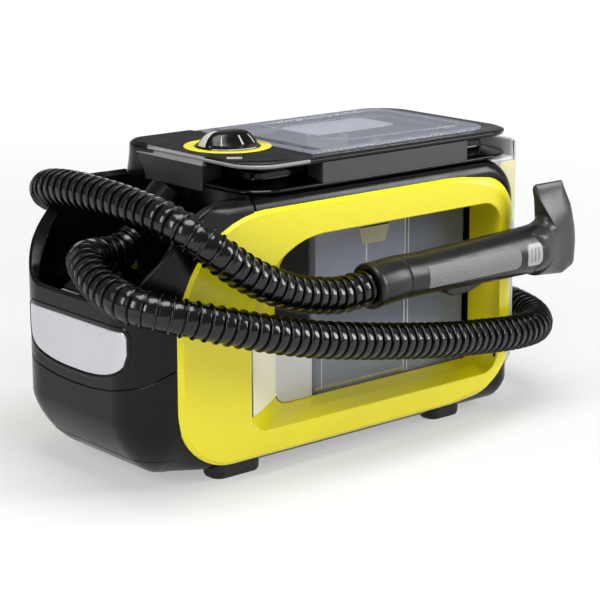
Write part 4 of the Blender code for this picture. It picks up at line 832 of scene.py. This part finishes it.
# %% Trigger
trigger_edge = rounded([(88.0, -16.0, 0.5), (134.0, -16.0, 0.5), (131.0, -23.0, 3.0), (116.0, -26.0, 7.0),
                        (96.0, -25.0, 5.0),
                        (88.5, -21.0, 2.5)][::-1], arc=6, edge=2)
half_line = profile([(-2.0, -6.0, 0), (0.0, -6.0, 1.6), (0.0, 6.0, 1.6), (-2.0, 6.0, 0)], arc=5)
sag = np.array((0.0, 0.0, -5.6))
flat = sweep(trigger_edge, half_line, "Y") + sag
piece("trigger_blade", "trigger", HANDLE_BLACK, (tool(flat), "caz"), stands_for=["spray_trigger"], crease=35)

# %% Nozzle head
# The head is blown up from its side outline: at a share r of the way from its middle to the
# outline its half thickness is T (1 - r^5)^(1/2.5), and T falls from the neck to the wide mouth.
head_corners = [(186.0, 7.5, 4), (209.0, 9.2, 6), (218.0, 13.5, 6), (213.3, 27.0, 30), (205.6, 46.5, 3.5),
                (244.9, 43.4, 1.5),
                (251.8, 26.0, 60), (257.2, -3.0, 60), (257.4, -17.0, 50), (254.2, -38.6, 5),
                (239.0, -43.9, 6), (200.5, -37.4, 1.5),
                (203.5, -34.2, 2), (186.0, -31.0, 4)]
head_edge = rounded(head_corners[::-1], arc=6, edge=8)[0]
after = np.roll(head_edge, -1, axis=0)
if np.sum(head_edge[:, 0] * after[:, 1] - after[:, 0] * head_edge[:, 1]) < 0:
    head_edge = head_edge[::-1]
head_middle = np.array((228.0, -7.0))
rings = np.array((1.0, 0.998, 0.99, 0.975, 0.95, 0.91, 0.86, 0.8, 0.7, 0.6, 0.5, 0.4, 0.3, 0.2, 0.1, 0.01))


def head_half(u, w):
    """T, half the thickness: 9.5, less 6 towards the top, plus a bump of 10 at the neck."""
    neck = np.exp(-np.maximum(u - 196.0, 0) ** 2 / 900.0) * np.exp(-((w + 13.0) / 24.0) ** 4)
    return 9.5 - 6.0 * eased(w, 12.0, 38.0) + 10.0 * neck


def head_side(side):
    """Near or far half of the head, ring by ring."""
    rows = []
    for share in rings:
        u, w = (head_middle + (head_edge - head_middle) * share).T
        rows.append(tool(np.stack((u, side * head_half(u, w) * (1 - share ** 5) ** 0.4, w), -1)))
    return np.stack(rows)


def on_head(u, w, out):
    """Near side of the head close to its middle, lifted by out."""
    return tool(np.stack((u, -head_half(u, w) * 0.98 - out, w), -1))


HEAD_GREY = moulded("dark grey ABS, satin", "#2A2B2C", 0.33, IOR=1.5, Specular_IOR_Level=0.4,
                    slot="dark_grey_plastic")
near_half, far_half = head_side(-1), head_side(1)
piece("nozzle", "nozzle", HEAD_GREY, (np.concatenate((near_half[::-1], far_half[1:])), "caz"),
      stands_for=["nozzle_head"], crease=40)
jet_edge = rectangle((213.0, 229.0), (-8.0, 4.0), 5.8, arc=10, edge=1)[0]
jet_steps = [(1.0, -1.0), (1.0, 0.15), (0.97, 0.35), (0.9, 0.45)] + [(s, 0.5) for s in (0.7, 0.5, 0.3, 0.05)]
piece("jet_cap", "nozzle", HEAD_GREY, (patch(jet_edge, (221.0, -2.0), on_head, jet_steps), "caz"),
      stands_for=["spray_jet"], crease=40)
# The mouth's slot is not cut: a thin black block at the mouth is painted shade for its opening.
lip_line = np.array([(251.9, 22.0), (255.4, 8.0), (256.9, -4.0), (257.0, -17.0), (255.5, -28.0),
                     (254.6, -34.0)])
lip_at = np.stack([np.interp(np.linspace(0, 5, 40), np.arange(6), lip_line[:, k]) for k in (0, 1)], -1)
slit = np.stack([tool(np.stack((lip_at[:, 0] + du, np.full(40, v), lip_at[:, 1]), -1))
                 for du, v in ((-3.0, -3.4), (0.35, -3.4), (0.35, 3.4), (-3.0, 3.4))], 1)
piece("mouth_slit", "nozzle", SLIT_PAINTED_SHADE, (slit, "caz"))
# %% [markdown]
# ## The tanks
# The dirty-water tank is smoked SAN plastic: it lets part of the light through, so the shader's
# alpha is below one and the inner walls show behind it. The clean-water tank is milky polyethylene.
# %% Dirty-water tank
SMOKE = moulded("smoked SAN, clear", "#8E94A2", 0.12, shade=0.02, spread=0.02, grain=4.0, depth=0.002,
                IOR=1.57, Alpha=0.62, slot="smoke_plastic")
SMOKE_LID = moulded("smoked SAN lid", "#B4B8C6", 0.08, shade=0.02, spread=0.02, grain=4.0, depth=0.002,
                    IOR=1.57, Alpha=0.33, slot="smoke_plastic")
SMOKE_INNER = moulded("smoked SAN, inner wall", "#8A90A0", 0.3, shade=0.03, IOR=1.57, slot="smoke_plastic")
LAVENDER = moulded("smoked SAN, lit inner wall", "#BBBED4", 0.25, shade=0.04, IOR=1.57, slot="smoke_plastic")


TANK_HALF = 57.5
CHAMBER_TOP = 214.0


def vessel(outline, bottom, top, wall=2.0, soft=2.0):
    """An open box with rounded bottom edge: outside wall up, rim, and inside wall down."""
    line = profile([(-8.0, bottom, 0), (0.0, bottom, soft), (0.0, top, 0.3), (-wall, top, 0.3),
                    (-wall, bottom + wall, soft * 0.5),
                    (-8.0, bottom + wall, 0)], arc=4)
    return machine(sweep(outline, line)), "caz"


tank_edge = rectangle((-8.5, 182.5), (-TANK_HALF, TANK_HALF), 8.0, arc=8, edge=4)
piece("tank_walls", "dirty_water_tank", SMOKE, vessel(tank_edge, 26.2, 259.0), stands_for=["dirty_tank"])
rear_edge = rectangle((106.0, 180.0), (-55.0, 55.0), 6.0, arc=6, edge=2)
piece("rear_chamber", "dirty_water_tank", SMOKE_INNER, vessel(rear_edge, 28.6, CHAMBER_TOP, wall=1.2),
      stands_for=["tank_baffle"])
duct_edge = rectangle((-5.0, 30.0), (-30.0, 33.0), 4.0, arc=6, edge=2)
piece("duct_box", "dirty_water_tank", LAVENDER, vessel(duct_edge, 70.0, 247.0, wall=1.5),
      stands_for=["inlet_duct"])
front_edge = rectangle((-6.0, 103.0), (-54.9, 54.9), 6.0, arc=6, edge=2)
low_line = profile([(-0.9, 29.0, 0), (0.0, 29.0, 0.2), (0.0, 118.0, 0.2), (-0.9, 118.0, 0), (-0.9, 29.4, 0)],
                   arc=2)
piece("front_chamber_low", "dirty_water_tank", SMOKE_INNER, (machine(sweep(front_edge, low_line)), "rc"))
BAND = moulded("smoked SAN, upper band", "#A9ACC4", 0.25, shade=0.08, spread=0.02, IOR=1.57, Alpha=0.6,
               slot="smoke_plastic")
band_edge = rectangle((-4.0, 101.0), (120.0, 216.0), 4.0, arc=6, edge=4)
band_line = profile([(-1.0, -57.9, 0), (0.0, -57.8, 0.1), (0.0, -57.2, 0)], arc=2)
piece("front_chamber_high", "dirty_water_tank", BAND, swept(band_edge, band_line, "Y"))
# The pale vertical lines on the tank's near face are painted highlights on its edges and corners.
PALE_PAINTED_LIGHT = moulded("clear SAN edge, lit", "#E6E7EE", 0.2, shade=0.02, IOR=1.57, slot="milky_plastic")
lines = []
for x0, x1, low, high in ((102.2, 103.4, 44.0, 192.0), (106.6, 107.6, 44.0, 192.0),
                          (55.0, 56.6, 122.0, 190.0), (3.0, 3.7, 46.0, 96.0)):
    edge = rectangle((x0, x1), (low, high), 0.3, arc=2, edge=0)
    line = profile([(-0.4, -58.1, 0), (0.0, -58.0, 0.1), (0.0, -57.2, 0)], arc=2)
    lines.append(swept(edge, line, "Y"))
piece("tank_ribs", "dirty_water_tank", PALE_PAINTED_LIGHT, *lines)
TAB = moulded("cream POM tab", "#B4B39A", 0.35, IOR=1.48, slot="label_cream")
tab_edge = rounded([(50.0, 170.0, 3.0), (78.0, 170.0, 3.0), (84.0, 187.0, 1.0), (46.0, 187.0, 1.0)], arc=4,
                   edge=2)
tab_line = profile([(-2.0, -58.6, 0), (0.0, -58.4, 0.3), (0.0, -57.3, 0)], arc=3)
piece("tank_tab", "dirty_water_tank", TAB, swept(tab_edge, tab_line, "Y"))
OLIVE = moulded("smoked SAN foot, yellow glow", "#8B8A62", 0.25, shade=0.1, IOR=1.57, slot="smoke_plastic")
foot_strip = rectangle((-6.0, 104.0), (45.0, 48.2), 1.0, arc=2, edge=2)
piece("tank_foot_strip", "dirty_water_tank", OLIVE, swept(foot_strip, tab_line + (0.0, 0.6), "Y"))

# %% Lid
lid_edge = rounded([(-23.5, -78.0, 4.0), (191.0, -78.0, 24.0), (191.0, 78.0, 24.0), (-23.5, 78.0, 4.0)],
                   arc=12, edge=6)
lid_line = profile([(-14.0, 262.2, 0), (-1.0, 262.2, 0.3), (0.0, 261.2, 0.1), (0.0, 263.2, 0.9),
                    (-3.0, 264.0, 0.8), (-14.0, 264.0, 0)], arc=4)
piece("lid_plate", "lid", SMOKE_LID, swept(lid_edge, lid_line), stands_for=["tank_lid"])
rim_edge = rounded([(30.0, -52.0, 20.0), (176.0, -60.0, 16.0), (176.0, 60.0, 16.0), (30.0, 60.0, 8.0)],
                   arc=12, edge=4)
rim_line = profile([(-1.0, 263.9, 0), (-1.0, 264.9, 0.3), (1.0, 264.9, 0.3), (1.0, 263.9, 0)], arc=3)
piece("lid_bead", "lid", SMOKE_LID, (machine(sweep(rim_edge, rim_line)), "c"))
# A pale sheet under the smoked lid is a painted glow, seen through the lid.
glow_edge = rectangle((50.0, 150.0), (4.0, 57.0), 9.0, arc=8, edge=4)
glow_line = profile([(-3.0, 259.6, 0), (0.0, 259.6, 0.2), (0.0, 259.0, 0)], arc=2)
piece("lid_window", "lid", PALE_PAINTED_LIGHT, swept(glow_edge, glow_line))
seal_line = profile([(0.0, 253.0, 0), (0.0, 257.0, 0.5), (-3.0, 257.0, 0.5), (-3.0, 253.0, 0)], arc=3)
seal_edge = rectangle((-6.2, 180.2), (-55.2, 55.2), 6.2, arc=6, edge=2)
piece("lid_seal", "lid", RUBBER, (machine(sweep(seal_edge, seal_line)), "rc"), stands_for=["lid_gasket"],
      crease=40)

# %% Clean-water tank
MILKY = moulded("milky polyethylene", "#D5D7D9", 0.35, shade=0.03, IOR=1.51, Alpha=0.88, slot="milky_plastic")
fresh_edge = rounded([(188.8, 30.0, 4.0), (228.0, 30.0, 16.0), (228.0, 249.0, 5.0), (219.5, 249.0, 2.0),
                      (219.5, 232.5, 1.0),
                      (188.8, 232.5, 6.0)], arc=8, edge=4)
wall_line = profile([(-3.5, -76.0, 0), (-0.4, -76.0, 3.0), (-0.4, 76.0, 3.0), (-3.5, 76.0, 0)], arc=6)
piece("clean_tank_shell", "clean_water_tank", MILKY, swept(fresh_edge, wall_line, "Y"),
      stands_for=["fresh_tank"], crease=35)
LABEL = moulded("cream paper label, coated", "#EFE9B4", 0.45, shade=0.02, IOR=1.5, slot="label_cream")
label_edge = rectangle((205.0, 225.0), (170.0, 228.0), 1.5, arc=4, edge=0)
label_line = profile([(-1.0, -76.35, 0), (0.0, -76.3, 0.05), (0.0, -75.9, 0)], arc=2)
piece("tank_label", "clean_water_tank", LABEL, swept(label_edge, label_line, "Y"),
      stands_for=["fresh_tank_label"])

# %% Label plates and the painted glare on the front slopes
PLATE = moulded("light grey label film", "#CFCFD4", 0.4, shade=0.03, IOR=1.5, slot="light_grey_plastic")
SLOPE_GLARE = moulded("painted cream glare, front slope", "#FAF7DE", 0.35, shade=0.01, IOR=1.5, slot="label_cream")
slope_share = np.linspace(0, 1, 9)
for side, name in ((-1, "near"), (1, "far")):
    plate_edge = rectangle((-52.0, -10.5), (43.5, 96.0), (12.0, 0.6, 0.6, 0.6), arc=8, edge=2)
    plate_line = profile([(-0.8, side * 61.2, 0), (0.0, side * 61.1, 0.1), (0.0, side * 60.0, 0)], arc=2)
    piece(f"label_film_{name}", "machine_body", PLATE, swept(plate_edge, plate_line, "Y"),
          stands_for=[f"label_plate_{name}"])
    # The cream sheet laid on each front slope below is painted glare: a thin copy of the slope in pale cream,
    # lifted a little off the yellow.
    heights = np.linspace(52.0, 122.0, 24)
    x_face = np.interp(heights, (38, 44, 52, 118, 122), (-96, -103, -107.2, -108.0, -107.6))
    x_mid, x_in = np.full(24, -80.6), np.interp(heights, (43, 50, 56, 122), (-44, -50.2, -51.8, -51.9))
    film = [on_axis(np.stack((x_face + (x_mid - x_face) * t, heights), -1), side * (96.6 - 15.5 * t), "Y")
            for t in slope_share]
    film += [on_axis(np.stack((x_mid + (x_in - x_mid) * t, heights), -1), side * (81.1 - 20.6 * t), "Y")
             for t in slope_share[1:]]
    film = np.stack(film)
    lift = np.array((0.5, 0.0, 0.0))
    grid = np.concatenate((film + lift * 1.2, film[::-1] - lift))
    piece(f"slope_film_{name}", "machine_body", SLOPE_GLARE, (machine(grid), "raz"), crease=40)
# %% [markdown]
# ## Battery and the parts inside
# The CAD model's remaining parts keep their own shapes. Each gets the finish of the real thing:
# plated steel, cast bronze, open-cell foam, solder mask, rubber, polypropylene or black ABS.
# %% Battery
pack_edge = rectangle((-190.0, -114.0), (-60.0, 60.0), 9.0, arc=8, edge=3)
pack_line = profile([(-12.0, 106.5, 0), (0.0, 106.5, 2.0), (0.0, 150.0, 4.0), (-9.0, 156.0, 3.0),
                     (-20.0, 156.0, 0)], arc=5)
BATTERY = moulded("black PC-ABS battery case", "#1A1B1D", 0.36, IOR=1.57, slot="dark_grey_plastic")
piece("battery_case", "battery", BATTERY, swept(pack_edge, pack_line), stands_for=["battery_pack"])

# %% Finishes of the parts inside
STEEL = moulded("zinc-plated steel", "#B9BBBE", 0.28, shade=0.05, Metallic=1.0)
BRONZE = moulded("cast bronze, lacquered", "#B06A3A", 0.35, shade=0.1, Metallic=1.0)
FOAM = moulded("open-cell PU foam", "#2C2E30", 0.9, shade=0.3, grain=1.5, depth=0.4)
BOARD = moulded("green solder mask", "#1D5A34", 0.3, shade=0.1, IOR=1.5)
CLEAR_GREY = moulded("grey polypropylene", "#9A9C9E", 0.4, IOR=1.49)
# Zinc plating and bronze shine like metal, foam is rough and dark, a solder mask is smooth and green.
FINISHES = (
    (BLACK, "battery_button battery_contacts"),
    (BLACK_MATT, "fan_housing motor_bulkhead tank_partition bay_liner_near bay_liner_far"),
    (YELLOW, "float_ball"),
    (STEEL, "suction_motor trigger_pin"),
    (BRONZE, "fan_impeller water_pump"),
    (RUBBER, "motor_mount suction_duct filler_plug"),
    (FOAM, "exhaust_filter"),
    (BOARD, "control_board"),
    (CLEAR_GREY, "water_tube float_cage tank_coupling"),
    # The two recess marks are pale grey bars on the rim of the recess.
    (PALE_INLAY_AND_HIGHLIGHT, "recess_mark_front recess_mark_side"))
for finish, nodes in FINISHES:
    for node in nodes.split():
        mesh = bpy.data.objects[node].data
        mesh.materials.clear()
        mesh.materials.append(finish)
print(len(FINISHES), "finishes on the frame's own parts")
